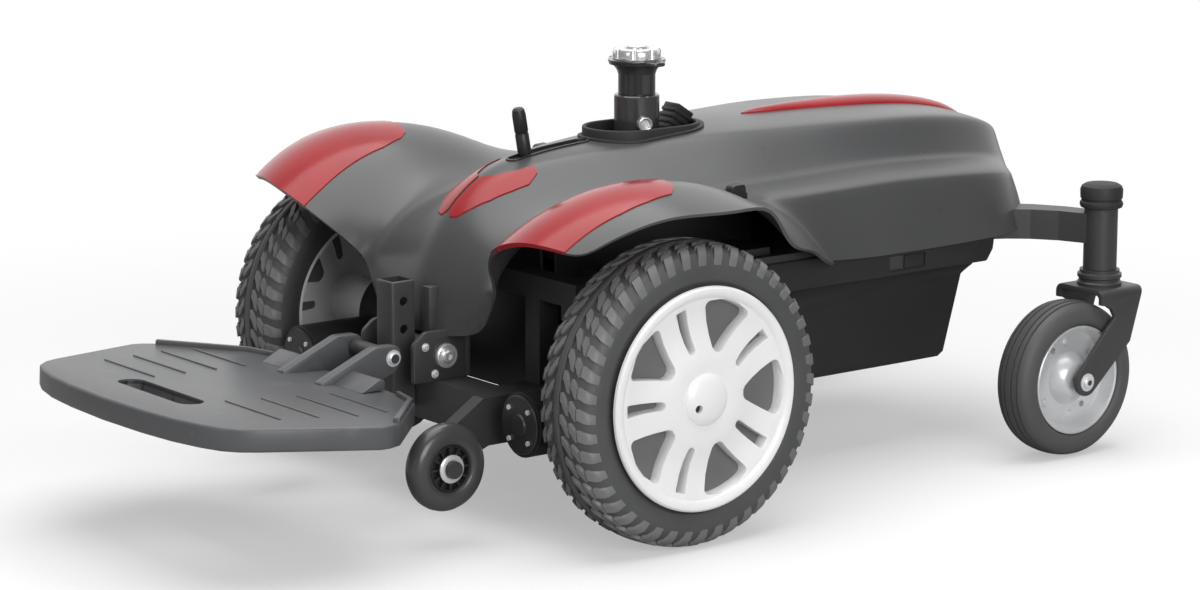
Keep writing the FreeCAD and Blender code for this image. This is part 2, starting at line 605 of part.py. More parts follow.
def footplate():
    """Moulded footplate, ribbed below, with a hand slot and two hinge ears."""
    z0 = PLATE_TOP_Z - PLATE_H
    outer = Part.Face(plate_wire(0, z0)).extrude(V(0, 0, PLATE_H))
    hollow = Part.Face(plate_wire(PLATE_WALL, z0 - 1)).extrude(V(0, 0, PLATE_H - PLATE_TOP_T + 1))
    shell = outer.cut(hollow)
    rib = PLATE_RIB_T / 2
    rib_z = (z0 + 4, PLATE_TOP_Z - 2)
    ribs = []
    for x in (-120, -60, 0, 60, 120):
        ribs.append(box((x - rib, x + rib), (PLATE_FRONT_Y, PLATE_WIDE_Y + 120), rib_z))
    for y in (-395, -320):
        ribs.append(box((-PLATE_HALF_W, PLATE_HALF_W), (y - rib, y + rib), rib_z))
    grid = fuse(ribs).common(outer)
    length, width, y_slot = PLATE_SLOT
    straight = (length - width) / 2
    slot = box((-straight, straight), (y_slot - width / 2, y_slot + width / 2), (z0 - 1, PLATE_TOP_Z + 1))
    frame = box((-straight, straight), (y_slot - width / 2 - PLATE_WALL, y_slot + width / 2 + PLATE_WALL),
                (z0, PLATE_TOP_Z))
    slot_parts = [slot]
    frame_parts = [frame]
    for side in (LEFT, RIGHT):
        x = side * straight
        slot_parts.append(rod(width / 2, (x, y_slot, z0 - 1), (x, y_slot, PLATE_TOP_Z + 1)))
        frame_parts.append(rod(width / 2 + PLATE_WALL, (x, y_slot, z0), (x, y_slot, PLATE_TOP_Z)))
    ears = []
    for side in (LEFT, RIGHT):
        x0 = side * (HINGE_BARREL_X + SIDE_PLAY)
        x1 = side * (HINGE_BARREL_X + SIDE_PLAY + FOOT_EAR_W)
        ears.append(rod(HINGE_BARREL_R + 3, (x0, HINGE_Y, HINGE_Z), (x1, HINGE_Y, HINGE_Z)))
        outline = [
            (HINGE_Y, HINGE_Z + HINGE_BARREL_R + 3), (-212, HINGE_Z + HINGE_BARREL_R - 3),
            (-270, PLATE_TOP_Z - 6), (-270, PLATE_TOP_Z - 10), (-228, z0 - 2),
            (HINGE_Y, HINGE_Z - HINGE_BARREL_R - 3),
        ]
        ears.append(side_profile(outline, (x0, x1)))
    plate = fuse([shell, grid] + frame_parts).cut(fuse(slot_parts))
    plate.rotate(V(0, PLATE_PIVOT_Y, PLATE_TOP_Z), X_AXIS, -PLATE_TILT_DEG)
    whole = fuse([plate] + ears)
    pin_x = HINGE_BARREL_X + FOOT_EAR_W + 10
    return whole.cut(rod(HINGE_PIN_R + RUN_GAP, (-pin_x, HINGE_Y, HINGE_Z), (pin_x, HINGE_Y, HINGE_Z)))


def seat_sleeve():
    """Fixed tube that guides the seat post."""
    z0 = RAIL_Z[1] + BRIDGE_T + PAD_H
    tube = rod(SLEEVE_R, (0, POST_Y, z0), (0, POST_Y, SLEEVE_TOP_Z))
    bore = rod(POST_R + RUN_GAP, (0, POST_Y, z0 - 1), (0, POST_Y, SLEEVE_TOP_Z + 1))
    screw_dir = V(math.cos(math.radians(-20)), math.sin(math.radians(-20)), 0)
    screw_z = SLEEVE_TOP_Z - 30
    start = V(0, POST_Y, screw_z) + screw_dir * (POST_R + SEAT_GAP)
    end = V(0, POST_Y, screw_z) + screw_dir * (SLEEVE_R + 7)
    screw = rod(8.0, tuple(start), tuple(end))
    return fuse([tube.cut(bore), screw.cut(bore)])


def seat_post():
    """Inner post with its flare and two-eared flange."""
    tube = rod(POST_R, (0, POST_Y, POST_BOTTOM_Z), (0, POST_Y, FLANGE_Z))
    flare = Part.makeCone(POST_R, POST_R + 5, 8, V(0, POST_Y, FLANGE_Z - 8), Z_AXIS)
    disc = rod(HEAD_R + 6, (0, POST_Y, FLANGE_Z), (0, POST_Y, FLANGE_Z + FLANGE_T))
    bar_half = FLANGE_EAR_W / 2 - 12
    bar = box((-bar_half, bar_half), (POST_Y - 12, POST_Y + 12), (FLANGE_Z, FLANGE_Z + FLANGE_T))
    pieces = [tube, flare, disc, bar]
    for side in (LEFT, RIGHT):
        x = side * bar_half
        pieces.append(rod(12.0, (x, POST_Y, FLANGE_Z), (x, POST_Y, FLANGE_Z + FLANGE_T)))
    top = FLANGE_Z + FLANGE_T
    return fuse(pieces).cut(rod(HEAD_R + SEAT_GAP, (0, POST_Y, top - HEAD_SINK), (0, POST_Y, top + 1)))


def seat_head():
    """Notched head that the seat's socket drops over, on a neck let into the flange."""
    z0 = FLANGE_Z + FLANGE_T
    head = rod(HEAD_R, (0, POST_Y, z0), (0, POST_Y, z0 + HEAD_H))
    for notch in range(HEAD_NOTCHES):
        angle = math.radians(notch * 360.0 / HEAD_NOTCHES)
        x = HEAD_R * math.cos(angle)
        y = POST_Y + HEAD_R * math.sin(angle)
        head = head.cut(rod(NOTCH_R, (x, y, z0 - 1), (x, y, z0 + HEAD_H + 1)))
    neck = rod(HEAD_R - HEAD_NECK, (0, POST_Y, z0 - HEAD_SINK), (0, POST_Y, z0 + 1))
    return fuse([head, neck]).cut(rod(10.0, (0, POST_Y, z0 + 4), (0, POST_Y, z0 + HEAD_H + 1)))


# Hood sections, measured on the outer skin: y, deck half width, ridge z, deck z,
# valley x, valley z, ledge x, ledge z, hem x, hem z
HOOD_SECTIONS = (
    (-20.0, 22.0, 360.0, 354.0, 78.0, 318.0, 112.0, 290.0, 118.0, 270.0),
    (60.0, 36.0, 369.0, 364.0, 96.0, 324.0, 150.0, 308.0, 158.0, 270.0),
    (140.0, 50.0, 376.0, 372.0, 110.0, 325.0, 182.0, 318.0, 198.0, 264.0),
    (231.0, 72.0, 381.0, 377.0, 120.0, 330.0, 188.0, 324.0, 203.0, 247.0),
    (390.0, 100.0, 384.0, 379.0, 130.0, 337.0, 188.0, 327.0, 203.0, 247.0),
    (500.0, 103.0, 382.0, 377.0, 131.0, 334.0, 186.0, 323.0, 203.0, 248.0),
    (570.0, 98.0, 375.0, 369.0, 126.0, 328.0, 178.0, 316.0, 198.0, 249.0),
    (605.0, 90.0, 367.0, 361.0, 116.0, 322.0, 158.0, 308.0, 180.0, 252.0),
    (636.0, 76.0, 357.0, 351.0, 98.0, 314.0, 126.0, 300.0, 142.0, 256.0),
    (655.0, 60.0, 345.0, 340.0, 76.0, 308.0, 92.0, 294.0, 100.0, 262.0),
)

# Nose slices, from the apron's bottom upwards: z, half width, y at the sides, y of the middle
NOSE_SLICES = (
    (205.0, 80.0, -104.0, -127.0),
    (240.0, 112.0, -108.0, -124.0),
    (275.0, 126.0, -98.0, -114.0),
    (310.0, 92.0, -66.0, -94.0),
    (340.0, 52.0, -34.0, -66.0),
    (357.0, 22.0, -18.0, -38.0),
)


def hood_body(grow, z_extra=0.0):
    """Solid under the hood's skin, larger all round by grow."""
    wires = []
    for y, deck, z_ridge, z_deck, valley_x, valley_z, ledge_x, ledge_z, hem_x, hem_z in HOOD_SECTIONS:
        half = [
            (deck + grow * 0.6, z_deck + grow), (valley_x + grow, valley_z + grow),
            (ledge_x + grow, ledge_z + grow * 0.8), (hem_x + grow, hem_z - z_extra),
        ]
        left = [(x, z) for x, z in half]
        right = [(-x, z) for x, z in reversed(half)]
        y_shift = grow if y == HOOD_SECTIONS[-1][0] else 0.0
        corners = [V(x, y + y_shift, z) for x, z in [(0, z_ridge + grow)] + left + right]
        wires.append(Part.makePolygon(corners + corners[:1]))
    return loft(wires)


def nose_body(grow, z_extra=0.0):
    """Solid under the nose and apron, larger all round by grow."""
    wires = []
    for z, half, y_side, y_mid in NOSE_SLICES:
        level = z
        if z == NOSE_SLICES[0][0]:
            level = z - z_extra
        if z == NOSE_SLICES[-1][0]:
            level = z + grow
        a = V(-half - grow, y_side, level)
        b = V(half + grow, y_side, level)
        front = V(0, y_mid - grow, level)
        back_b = V(b.x, 30, level)
        back_a = V(a.x, 30, level)
        wires.append(Part.Wire([
            Part.Arc(a, front, b).toShape(),
            Part.LineSegment(b, back_b).toShape(),
            Part.LineSegment(back_b, back_a).toShape(),
            Part.LineSegment(back_a, a).toShape(),
        ]))
    return loft(wires)


def oval(half_w, y_range, z_range):
    """Upright slab with two straight sides and round ends, long along Y."""
    y0 = y_range[0] + half_w
    y1 = y_range[1] - half_w
    return fuse([
        box((-half_w, half_w), (y0, y1), z_range),
        Part.makeCylinder(half_w, z_range[1] - z_range[0], V(0, y0, z_range[0]), Z_AXIS),
        Part.makeCylinder(half_w, z_range[1] - z_range[0], V(0, y1, z_range[0]), Z_AXIS),
    ])


def shroud_outer():
    """Outer volume of hood and nose together."""
    return fuse([hood_body(0.0), nose_body(0.0)])


def hood(outer):
    """One-piece moulded hood with its nose, hollow below, open round the seat post."""
    inner_back = hood_body(-SKIN, 1.0)
    inner_nose = nose_body(-SKIN, 1.0)
    shell = outer.cut(inner_back).cut(inner_nose)
    under_nose = box((-150.0, 150.0), (-92.0, 40.0), (200.0, 262.0))
    arm_way = box((-240.0, 240.0), (ARM_WAY_Y, 700.0), (200.0, REAR_BAR_Z[1] + 4))
    shell = shell.cut(under_nose).cut(arm_way)
    shell = shell.cut(oval(COLLAR_HALF_W, COLLAR_Y, (340.0, 400.0)))
    return shell.cut(oval(SLOT_W / 2, SLOT_Y, (340.0, 380.0)))


def fender_profile(grow):
    """Outer line of the fender as (x, radius) from the outer lip to the valley."""
    crown_r = DRIVE_R + FENDER_CROWN + grow
    return [(322 + grow, crown_r - 17), (300, crown_r - 8), (235, crown_r), (190, crown_r - 15),
            (150 - grow, crown_r - 55), (112 - grow, crown_r - 84)]


def fender_solid(grow_out, grow_in, front_deg, rear_deg):
    """Curved band between two offsets of the fender's profile."""
    points = fender_profile(grow_out) + list(reversed(fender_profile(grow_in)))
    return turned(points, FENDER_Y, FENDER_Z, front_deg + rear_deg, -rear_deg)


def fender_front():
    """Block that slants the fender's front edge."""
    return slab([(222, -169), (420, -86), (420, -300), (222, -300)], (180.0, 420.0))


# The fender's tail, behind its arch: join with the hood x, y, z, outer lip x, y, z, arching between
TAIL_SECTIONS = (
    (168.0, 150.0, 325.0, 292.0, 142.0, 314.0, 17.0),
    (196.0, 172.0, 331.0, 270.0, 182.0, 293.0, 9.0),
    (203.0, 207.0, 314.0, 248.0, 220.0, 275.0, 5.0),
    (204.0, 243.0, 286.0, 228.0, 252.0, 256.0, 2.0),
    (206.0, 277.0, 252.0, 212.0, 277.0, 248.0, 0.0),
)

# Places across the tail, as shares of the way from the join to the lip
TAIL_SHARES = (1.0, 0.86, 0.47, 0.2, 0.0)


def tail_wire(points):
    """Closed section of the tail under its outer points."""
    lower = [V(point.x, point.y, point.z - TAIL_T) for point in reversed(points)]
    return Part.makePolygon(points + lower + points[:1])


def fender_tail():
    """Tail that narrows from the fender's arch down to the hood's hem."""
    back = FENDER_TAIL_Y - FENDER_Y
    arch = []
    for x, r in fender_profile(0.0)[:len(TAIL_SHARES)]:
        arch.append(V(x, FENDER_TAIL_Y, FENDER_Z + math.sqrt(r ** 2 - back ** 2)))
    wires = [tail_wire(arch)]
    sink_x, sink_z = TAIL_SINK
    for join_x, join_y, join_z, lip_x, lip_y, lip_z, rise in TAIL_SECTIONS:
        join = V(join_x - sink_x, join_y, join_z - sink_z)
        lip = V(lip_x, lip_y, lip_z)
        points = []
        for share in TAIL_SHARES:
            point = join + (lip - join) * share
            points.append(V(point.x, point.y, point.z + 4 * rise * share * (1 - share)))
        wires.append(tail_wire(points))
    return loft(wires)


def fender(outer):
    """Wing over the left drive wheel, its tail drawn down along the hood's side."""
    band = fender_solid(0.0, -SKIN, FENDER_FRONT_DEG, FENDER_REAR_DEG)
    band = band.cut(fender_front()).cut(fender_lens_body())
    behind = box((90.0, 420.0), (FENDER_TAIL_Y + WELD, 400.0), (100.0, 420.0))
    whole = band.cut(behind).fuse(fender_tail()).cut(outer).removeSplitter()
    solids = sorted(whole.Solids, key=lambda solid: solid.Volume)
    return solids[-1]


def fender_lens_body():
    """Lens on the crest of the fender, tapering towards the rear."""
    lens = fender_solid(LENS_RISE, LENS_RISE - LENS_T, FENDER_FRONT_DEG, -FENDER_LENS_END_DEG)
    x0, x1 = FENDER_LENS_X
    outline = slab([(x0, -300), (x1, -300), (x1 - 4, -150), (x1 - 34, 22), (x0 + 14, 22), (x0, -150)],
                   (250.0, 400.0))
    return lens.common(outline).cut(fender_front())


def nose_lens(x_sign, outer):
    """Lamp lens on the flank of the nose."""
    skin = fuse([hood_body(LENS_RISE), nose_body(LENS_RISE)]).cut(outer)
    outline = slab([(3, -108), (22, -106), (60, -26), (52, -4), (26, -18), (9, -60)], (290.0, 380.0))
    lens = skin.common(outline)
    solids = sorted(lens.Solids, key=lambda solid: solid.Volume)
    return mirrored(solids[-1], x_sign)


def spine_lens(outer):
    """Long raised lens along the middle of the rear deck."""
    y0, y1 = SPINE_LENS_Y
    half = SPINE_LENS_W / 2
    y_mid = (y0 + y1) / 2
    plan = Part.Wire([
        Part.Arc(V(-2, y0, 330), V(-half, y_mid + 30, 330), V(-8, y1, 330)).toShape(),
        Part.LineSegment(V(-8, y1, 330), V(8, y1, 330)).toShape(),
        Part.Arc(V(8, y1, 330), V(half, y_mid + 30, 330), V(2, y0, 330)).toShape(),
        Part.LineSegment(V(2, y0, 330), V(-2, y0, 330)).toShape(),
    ])
    column = Part.Face(plan).extrude(V(0, 0, 70))
    crest = Part.Wire([
        Part.Arc(V(-40, y0, 382), V(-40, 500, 391), V(-40, y1, 357)).toShape(),
        Part.LineSegment(V(-40, y1, 357), V(-40, y1, 330)).toShape(),
        Part.LineSegment(V(-40, y1, 330), V(-40, y0, 330)).toShape(),
        Part.LineSegment(V(-40, y0, 330), V(-40, y0, 382)).toShape(),
    ])
    lens = Part.Face(crest).extrude(V(80, 0, 0)).common(column).cut(outer)
    solids = sorted(lens.Solids, key=lambda solid: solid.Volume)
    return solids[-1]


def post_collar():
    """Raised rubber rim round the opening for the seat post."""
    y0, y1 = COLLAR_Y
    rim = oval(COLLAR_HALF_W - SEAT_GAP, (y0 + SEAT_GAP, y1 - SEAT_GAP), (366.0, 386.0))
    inside = oval(COLLAR_HALF_W - COLLAR_RIM, (y0 + COLLAR_RIM, y1 - COLLAR_RIM), (360.0, 390.0))
    return rim.cut(inside)


def slot_plate(outer):
    """Black insert in the lever's slot."""
    y0, y1 = SLOT_Y
    plate = oval(SLOT_W / 2 - SEAT_GAP, (y0 + SEAT_GAP, y1 - SEAT_GAP), (351.0, 380.0))
    plate = plate.common(outer)
    return plate.cut(rod(STALK_R + SEAT_GAP, (0, LEVER_BASE[1], 340), (0, LEVER_BASE[1], 380)))


def release_lever():
    """Grip of the motor release lever on its steel bar."""
    grip = rod(LEVER_R, LEVER_BASE, LEVER_TOP)
    stalk = rod(STALK_R, (0, LEVER_BASE[1], RAIL_Z[1] + SEAT_GAP), (0, LEVER_BASE[1], LEVER_BASE[2] + 4))
    return fuse([grip, stalk])


def lever_mount():
    """Cross bar under the hood that carries the release lever."""
    half_x = RAIL_X[0] + 4
    return box((-half_x, half_x), (LEVER_BASE[1] - 12, LEVER_BASE[1] + 12),
               (RAIL_Z[1] - 8, RAIL_Z[1]))


def side_latch(x_sign, outer, wing):
    """Small catch where the hood's ledge meets the left wing, or its mirror image."""
    x, y, z = LATCH_AT
    length, width, height = LATCH_SIZE
    block = box((x - width / 2, x + width / 2), (y - length / 2, y + length / 2), (z - 6, z + height))
    block = block.cut(outer).cut(wing)
    solids = sorted(block.Solids, key=lambda solid: solid.Volume)
    return mirrored(solids[-1], x_sign)


def harness_connector(collar):
    """Ribbed plug behind the seat sleeve, tilted back against the collar."""
    block = box((-13.0, 13.0), (205.0, 231.0), (360.0, 402.0))
    block.rotate(V(0, 218, 380), X_AXIS, -33)
    gap = block.distToShape(collar)[0]
    block.translate(V(0, gap - SEAT_GAP, 0))
    return block


def box_outline(inset, lift):
    """Side outline of the battery box, drawn in by inset and its top raised by lift."""
    y0, y1 = BOX_Y
    z0, z1 = BOX_Z
    return [
        (y0 + inset, z0 + inset), (y1 - inset, z0 + inset),
        (y1 + BOX_RAKE * 0.4 - inset, BOX_WAIST_Z - 28), (BOX_TOP_Y - inset * 1.5, BOX_WAIST_Z),
        (BOX_TOP_Y - inset * 1.5, z1 + lift), (y0 + inset, z1 + lift),
    ]


def battery_box():
    """Tub for the batteries: a slimmer lower half, a curved waist and a flange under the rails."""
    y0, y1 = BOX_Y
    z0, z1 = BOX_Z
    tub = side_profile(box_outline(0.0, 0.0), (-BOX_HALF_W, BOX_HALF_W))
    front = V(0, y0 - 20, z0 + 48)
    middle = V(0, (y0 + y1) / 2, z0 + 84)
    rear = V(0, BOX_TOP_Y + 20, z0 + 104)
    rear_low = V(0, rear.y, z0 - 10)
    front_low = V(0, front.y, z0 - 10)
    shave = Part.Wire([
        Part.Arc(front, middle, rear).toShape(),
        Part.LineSegment(rear, rear_low).toShape(),
        Part.LineSegment(rear_low, front_low).toShape(),
        Part.LineSegment(front_low, front).toShape(),
    ])
    for side in (LEFT, RIGHT):
        cutter = Part.Face(shave).extrude(V(side * 20, 0, 0))
        cutter.translate(V(side * (BOX_HALF_W - BOX_WAIST_STEP), 0, 0))
        tub = tub.cut(cutter)
    flange_x = RAIL_X[0] - SEAT_GAP
    flange = box((-flange_x, flange_x), (y0, REAR_BAR_Y[0] - 5), (z1 - 5, z1))
    hollow_x = BOX_HALF_W - BOX_WAIST_STEP - BOX_WALL
    hollow = side_profile(box_outline(BOX_WALL, 1.0), (-hollow_x, hollow_x))
    return fuse([tub, flange]).cut(hollow)


def battery_pack():
    """The two batteries as one block."""
    inset = BOX_WALL + PACK_GAP
    half_w = BOX_HALF_W - BOX_WAIST_STEP - inset
    return box((-half_w, half_w), (BOX_Y[0] + inset, BOX_Y[1] - inset),
               (BOX_Z[0] + BOX_WALL, BOX_Z[1] - 12))


def build():
    """All pieces by node name."""
    outer = shroud_outer()
    collar = post_collar()
    wing = fender(outer)
    nodes = {
        "main_frame": fuse([main_frame(), lever_mount()]),
        "footrest_bracket": footrest_bracket(),
        "footrest_tube": footrest_tube(),
        "footplate": footplate(),
        "seat_sleeve": seat_sleeve(),
        "seat_post": seat_post(),
        "seat_head": seat_head(),
        "hood": hood(outer),
        "spine_lens": spine_lens(outer),
        "post_collar": collar,
        "slot_plate": slot_plate(outer),
        "release_lever": release_lever(),
        "harness_connector": harness_connector(collar),
        "battery_box": battery_box(),
        "battery_pack": battery_pack(),
    }
    for name, side in SIDES.items():
        nodes["fender_" + name] = mirrored(wing, side)
        nodes["fender_lens_" + name] = mirrored(fender_lens_body(), side)
        nodes["nose_lens_" + name] = nose_lens(side, outer)
        nodes["side_latch_" + name] = side_latch(side, outer, wing)
        nodes["drive_motor_" + name] = drive_motor(side)
        nodes["drive_tyre_" + name] = drive_tyre(side)
        nodes["drive_rim_" + name] = drive_rim(side)
        nodes["rear_arm_" + name] = rear_arm(side)
        nodes["barrel_cap_" + name] = barrel_cap(side)
        nodes["caster_fork_" + name] = caster_fork(side)
        nodes["caster_tyre_" + name] = caster_tyre(side)
        nodes["caster_rim_" + name] = caster_rim(side)
        nodes["anti_tip_arm_" + name] = anti_tip_arm(side)
        nodes["anti_tip_tyre_" + name] = anti_tip_tyre(side)
        nodes["anti_tip_core_" + name] = anti_tip_core(side)
    return nodes


def export(nodes):
    """Write each piece, moved so that the box's bottom centre is the origin."""
    os.makedirs("parts", exist_ok=True)
    box_all = FreeCAD.BoundBox()
    for shape in nodes.values():
        box_all.add(shape.BoundBox)
    y_middle = (box_all.YMin + box_all.YMax) / 2
    for name, shape in nodes.items():
        placed = shape.copy()
        placed.translate(V(0, -y_middle, 0))
        placed.exportStep("parts/" + name + ".step")
        print(name, placed.ShapeType, len(placed.Solids), placed.isValid(),
              round(placed.Volume), [round(v, 1) for v in (placed.BoundBox.XMin, placed.BoundBox.XMax,
              placed.BoundBox.YMin, placed.BoundBox.YMax, placed.BoundBox.ZMin, placed.BoundBox.ZMax)])
    print("y_middle", y_middle)


export(build())
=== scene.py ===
"""Dresses the power base of an electric wheelchair and sets it in a plain studio.

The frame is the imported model's, in metres: the origin is on the floor at the middle of the base,
the chair faces -Y, its left side is +X and +Z is up. The sub-assemblies' sizes are in millimetres.
"""
import json
import logging
import math
from dataclasses import dataclass
from enum import Enum
from typing import Callable, Sequence

import bmesh
import bpy
from mathutils import Matrix, Vector


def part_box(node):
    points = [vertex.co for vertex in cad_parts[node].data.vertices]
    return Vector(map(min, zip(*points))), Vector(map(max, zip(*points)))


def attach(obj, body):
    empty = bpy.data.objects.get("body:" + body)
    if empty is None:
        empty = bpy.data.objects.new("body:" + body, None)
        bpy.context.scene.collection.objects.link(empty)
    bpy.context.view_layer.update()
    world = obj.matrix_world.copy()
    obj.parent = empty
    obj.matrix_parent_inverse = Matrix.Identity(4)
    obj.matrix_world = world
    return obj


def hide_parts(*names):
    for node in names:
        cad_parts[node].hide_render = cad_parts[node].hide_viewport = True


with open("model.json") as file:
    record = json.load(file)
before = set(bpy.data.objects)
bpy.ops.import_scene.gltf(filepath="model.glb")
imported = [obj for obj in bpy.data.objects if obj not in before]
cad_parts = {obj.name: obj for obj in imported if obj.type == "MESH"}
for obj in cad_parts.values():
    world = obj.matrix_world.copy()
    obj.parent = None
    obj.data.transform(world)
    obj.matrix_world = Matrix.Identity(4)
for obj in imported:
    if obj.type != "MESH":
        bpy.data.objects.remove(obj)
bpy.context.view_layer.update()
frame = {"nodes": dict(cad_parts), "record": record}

log = logging.getLogger("power_base")

MM = 0.001
# The drive axle's place along Y: the middle of the drive tyres
AXLE_Y = sum(corner.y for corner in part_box("drive_tyre_left")) / 2
Point = tuple[float, float, float]


class Side(Enum):
    """The chair's two sides, by the sign of X."""

    LEFT = 1
    RIGHT = -1

    @property
    def word(self) -> str:
        """The side's name as node names end."""
        return self.name.lower()


class Turn(Enum):
    """The lines that pieces are turned about or laid along."""

    X = 0
    Y = 1
    Z = 2

    @property
    def vector(self) -> Vector:
        """The unit vector of the line."""
        return Vector([1.0 if axis == self.value else 0.0 for axis in range(3)])


class Cut(Enum):
    """What stays of a piece when another is carved into it."""

    AWAY = "DIFFERENCE"
    KEEP = "INTERSECT"


# Modelling moves


def deselect() -> None:
    """Leave nothing selected in object mode."""
    if bpy.context.object and bpy.context.object.mode != "OBJECT":
        bpy.ops.object.mode_set(mode="OBJECT")
    bpy.ops.object.select_all(action="DESELECT")


def adopt(name: str) -> bpy.types.Object:
    """Name the piece just added, apply its place and return it.

    Args:
        name: The piece's name.

    Returns:
        The active object, at the origin, with its place in its mesh.
    """
    piece = bpy.context.object
    piece.name = name
    piece.data.name = name
    bpy.ops.object.transform_apply(location=True, rotation=True, scale=True)
    return piece


def add_rod(name: str, radius: float, start: Sequence[float], end: Sequence[float],
            steps: int = 48) -> bpy.types.Object:
    """Add a cylinder between two points.

    Args:
        name: The piece's name.
        radius: Its radius.
        start: Middle of one end.
        end: Middle of the other end.
        steps: Faces round it.

    Returns:
        The new piece.
    """
    deselect()
    line = Vector(end) - Vector(start)
    turn = line.to_track_quat("Z", "Y").to_euler()
    bpy.ops.mesh.primitive_cylinder_add(vertices=steps, radius=radius, depth=line.length,
                                        location=(Vector(start) + Vector(end)) / 2, rotation=turn)
    return adopt(name)


def add_block(name: str, low: Sequence[float], high: Sequence[float]) -> bpy.types.Object:
    """Add a box between two corners.

    Args:
        name: The piece's name.
        low: Lowest corner.
        high: Highest corner.

    Returns:
        The new piece.
    """
    deselect()
    low, high = Vector(low), Vector(high)
    bpy.ops.mesh.primitive_cube_add(size=1.0, location=(low + high) / 2, scale=high - low)
    return adopt(name)


def edit(piece: bpy.types.Object) -> None:
    """Open a piece for editing with everything selected.

    Args:
        piece: The piece.
    """
    deselect()
    bpy.context.view_layer.objects.active = piece
    piece.select_set(True)
    bpy.ops.object.mode_set(mode="EDIT")
    bpy.ops.mesh.select_mode(type="VERT")
    bpy.ops.mesh.select_all(action="SELECT")


def close_edit() -> None:
    """Go back to object mode."""
    bpy.ops.object.mode_set(mode="OBJECT")


def select_edges(piece: bpy.types.Object, wanted: Callable[[Vector, Vector], bool]) -> int:
    """Select the edges that a test picks, in edit mode.

    Args:
        piece: The piece being edited.
        wanted: Takes an edge's two ends, and says whether it is wanted.

    Returns:
        How many edges are selected.
    """
    bpy.ops.mesh.select_mode(type="EDGE")
    bpy.ops.mesh.select_all(action="DESELECT")
    mesh = bmesh.from_edit_mesh(piece.data)
    count = 0
    for edge in mesh.edges:
        if wanted(edge.verts[0].co, edge.verts[1].co):
            edge.select = True
            count += 1
    bmesh.update_edit_mesh(piece.data)
    return count


def lathe(name: str, profile: Sequence[tuple[float, float]], centre: Sequence[float], turn: Turn,
          steps: int) -> bpy.types.Object:
    """Spin a profile about a line, as on a lathe.

    Args:
        name: The piece's name.
        profile: Points as (place along the line, radius), the places in the piece's own frame.
        centre: A point on the line; its place along the line isn't used.
        turn: The line's direction.
        steps: Steps round.

    Returns:
        The new piece, closed where the profile ends on the line or in a ring.
    """
    deselect()
    line = turn.vector
    out = Turn.Z.vector if turn is not Turn.Z else Turn.Y.vector
    base = Vector(centre) - line * Vector(centre).dot(line)
    points = [base + line * place + out * radius for place, radius in profile]
    bpy.ops.mesh.primitive_plane_add(size=0.01, location=points[0])
    piece = adopt(name)
    edit(piece)
    bpy.ops.mesh.merge(type="CENTER")
    bpy.ops.mesh.select_all(action="SELECT")
    for before, after in zip(points, points[1:]):
        bpy.ops.mesh.extrude_region_move(TRANSFORM_OT_translate={"value": after - before})
    bpy.ops.mesh.select_all(action="SELECT")
    bpy.ops.mesh.spin(steps=steps, angle=math.radians(360), center=base, axis=line, use_auto_merge=False)
    bpy.ops.mesh.select_all(action="SELECT")
    bpy.ops.mesh.remove_doubles(threshold=1e-6)
    bpy.ops.mesh.normals_make_consistent(inside=False)
    close_edit()
    return piece


def prism(name: str, outline: Sequence[Sequence[float]], run: Sequence[float]) -> bpy.types.Object:
    """Extrude a flat outline.

    Args:
        name: The piece's name.
        outline: The outline's corners in order.
        run: The extrusion as a vector.

    Returns:
        The new closed piece.
    """
    deselect()
    corners = [Vector(corner) for corner in outline]
    bpy.ops.mesh.primitive_plane_add(size=0.01, location=corners[0])
    piece = adopt(name)
    edit(piece)
    bpy.ops.mesh.merge(type="CENTER")
    bpy.ops.mesh.select_all(action="SELECT")
    for before, after in zip(corners, corners[1:]):
        bpy.ops.mesh.extrude_region_move(TRANSFORM_OT_translate={"value": after - before})
    bpy.ops.mesh.select_all(action="SELECT")
    bpy.ops.mesh.edge_face_add()
    bpy.ops.mesh.select_all(action="SELECT")
    bpy.ops.mesh.extrude_region_move(TRANSFORM_OT_translate={"value": Vector(run)})
    bpy.ops.mesh.select_all(action="SELECT")
    bpy.ops.mesh.normals_make_consistent(inside=False)
    close_edit()
    return piece


def bevel(piece: bpy.types.Object, width: float, segments: int = 2, angle: float = 30.0) -> None:
    """Round a piece's sharp edges and apply the modifier.

    Args:
        piece: The piece.
        width: The bevel's width.
        segments: Steps across the bevel.
        angle: Edges sharper than this, in degrees, are rounded.
    """
    move = piece.modifiers.new("rounded", "BEVEL")
    move.width = width
    move.segments = segments
    move.limit_method = "ANGLE"
    move.angle_limit = math.radians(angle)
    move.harden_normals = False
    apply_modifiers(piece)


def apply_modifiers(piece: bpy.types.Object) -> None:
    """Apply all modifiers of a piece in order.

    Args:
        piece: The piece.
    """
    deselect()
    bpy.context.view_layer.objects.active = piece
    piece.select_set(True)
    for modifier in list(piece.modifiers):
        bpy.ops.object.modifier_apply(modifier=modifier.name)


def subdivide(piece: bpy.types.Object) -> None:
    """Add a modifier that rounds a coarse cage.

    Args:
        piece: The cage.
    """
    move = piece.modifiers.new("rounded", "SUBSURF")
    move.levels = move.render_levels = 2


def wall_inside(piece: bpy.types.Object, wall: float) -> None:
    """Give a surface a wall behind it and apply the piece's modifiers.

    Args:
        piece: The surface.
        wall: The wall's thickness in millimetres.
    """
    move = piece.modifiers.new("wall", "SOLIDIFY")
    move.thickness = wall * MM
    move.offset = -1.0
    apply_modifiers(piece)


def face_outwards(piece: bpy.types.Object) -> None:
    """Turn a piece's faces outwards.

    Args:
        piece: The piece.
    """
    edit(piece)
    bpy.ops.mesh.normals_make_consistent(inside=False)
    close_edit()


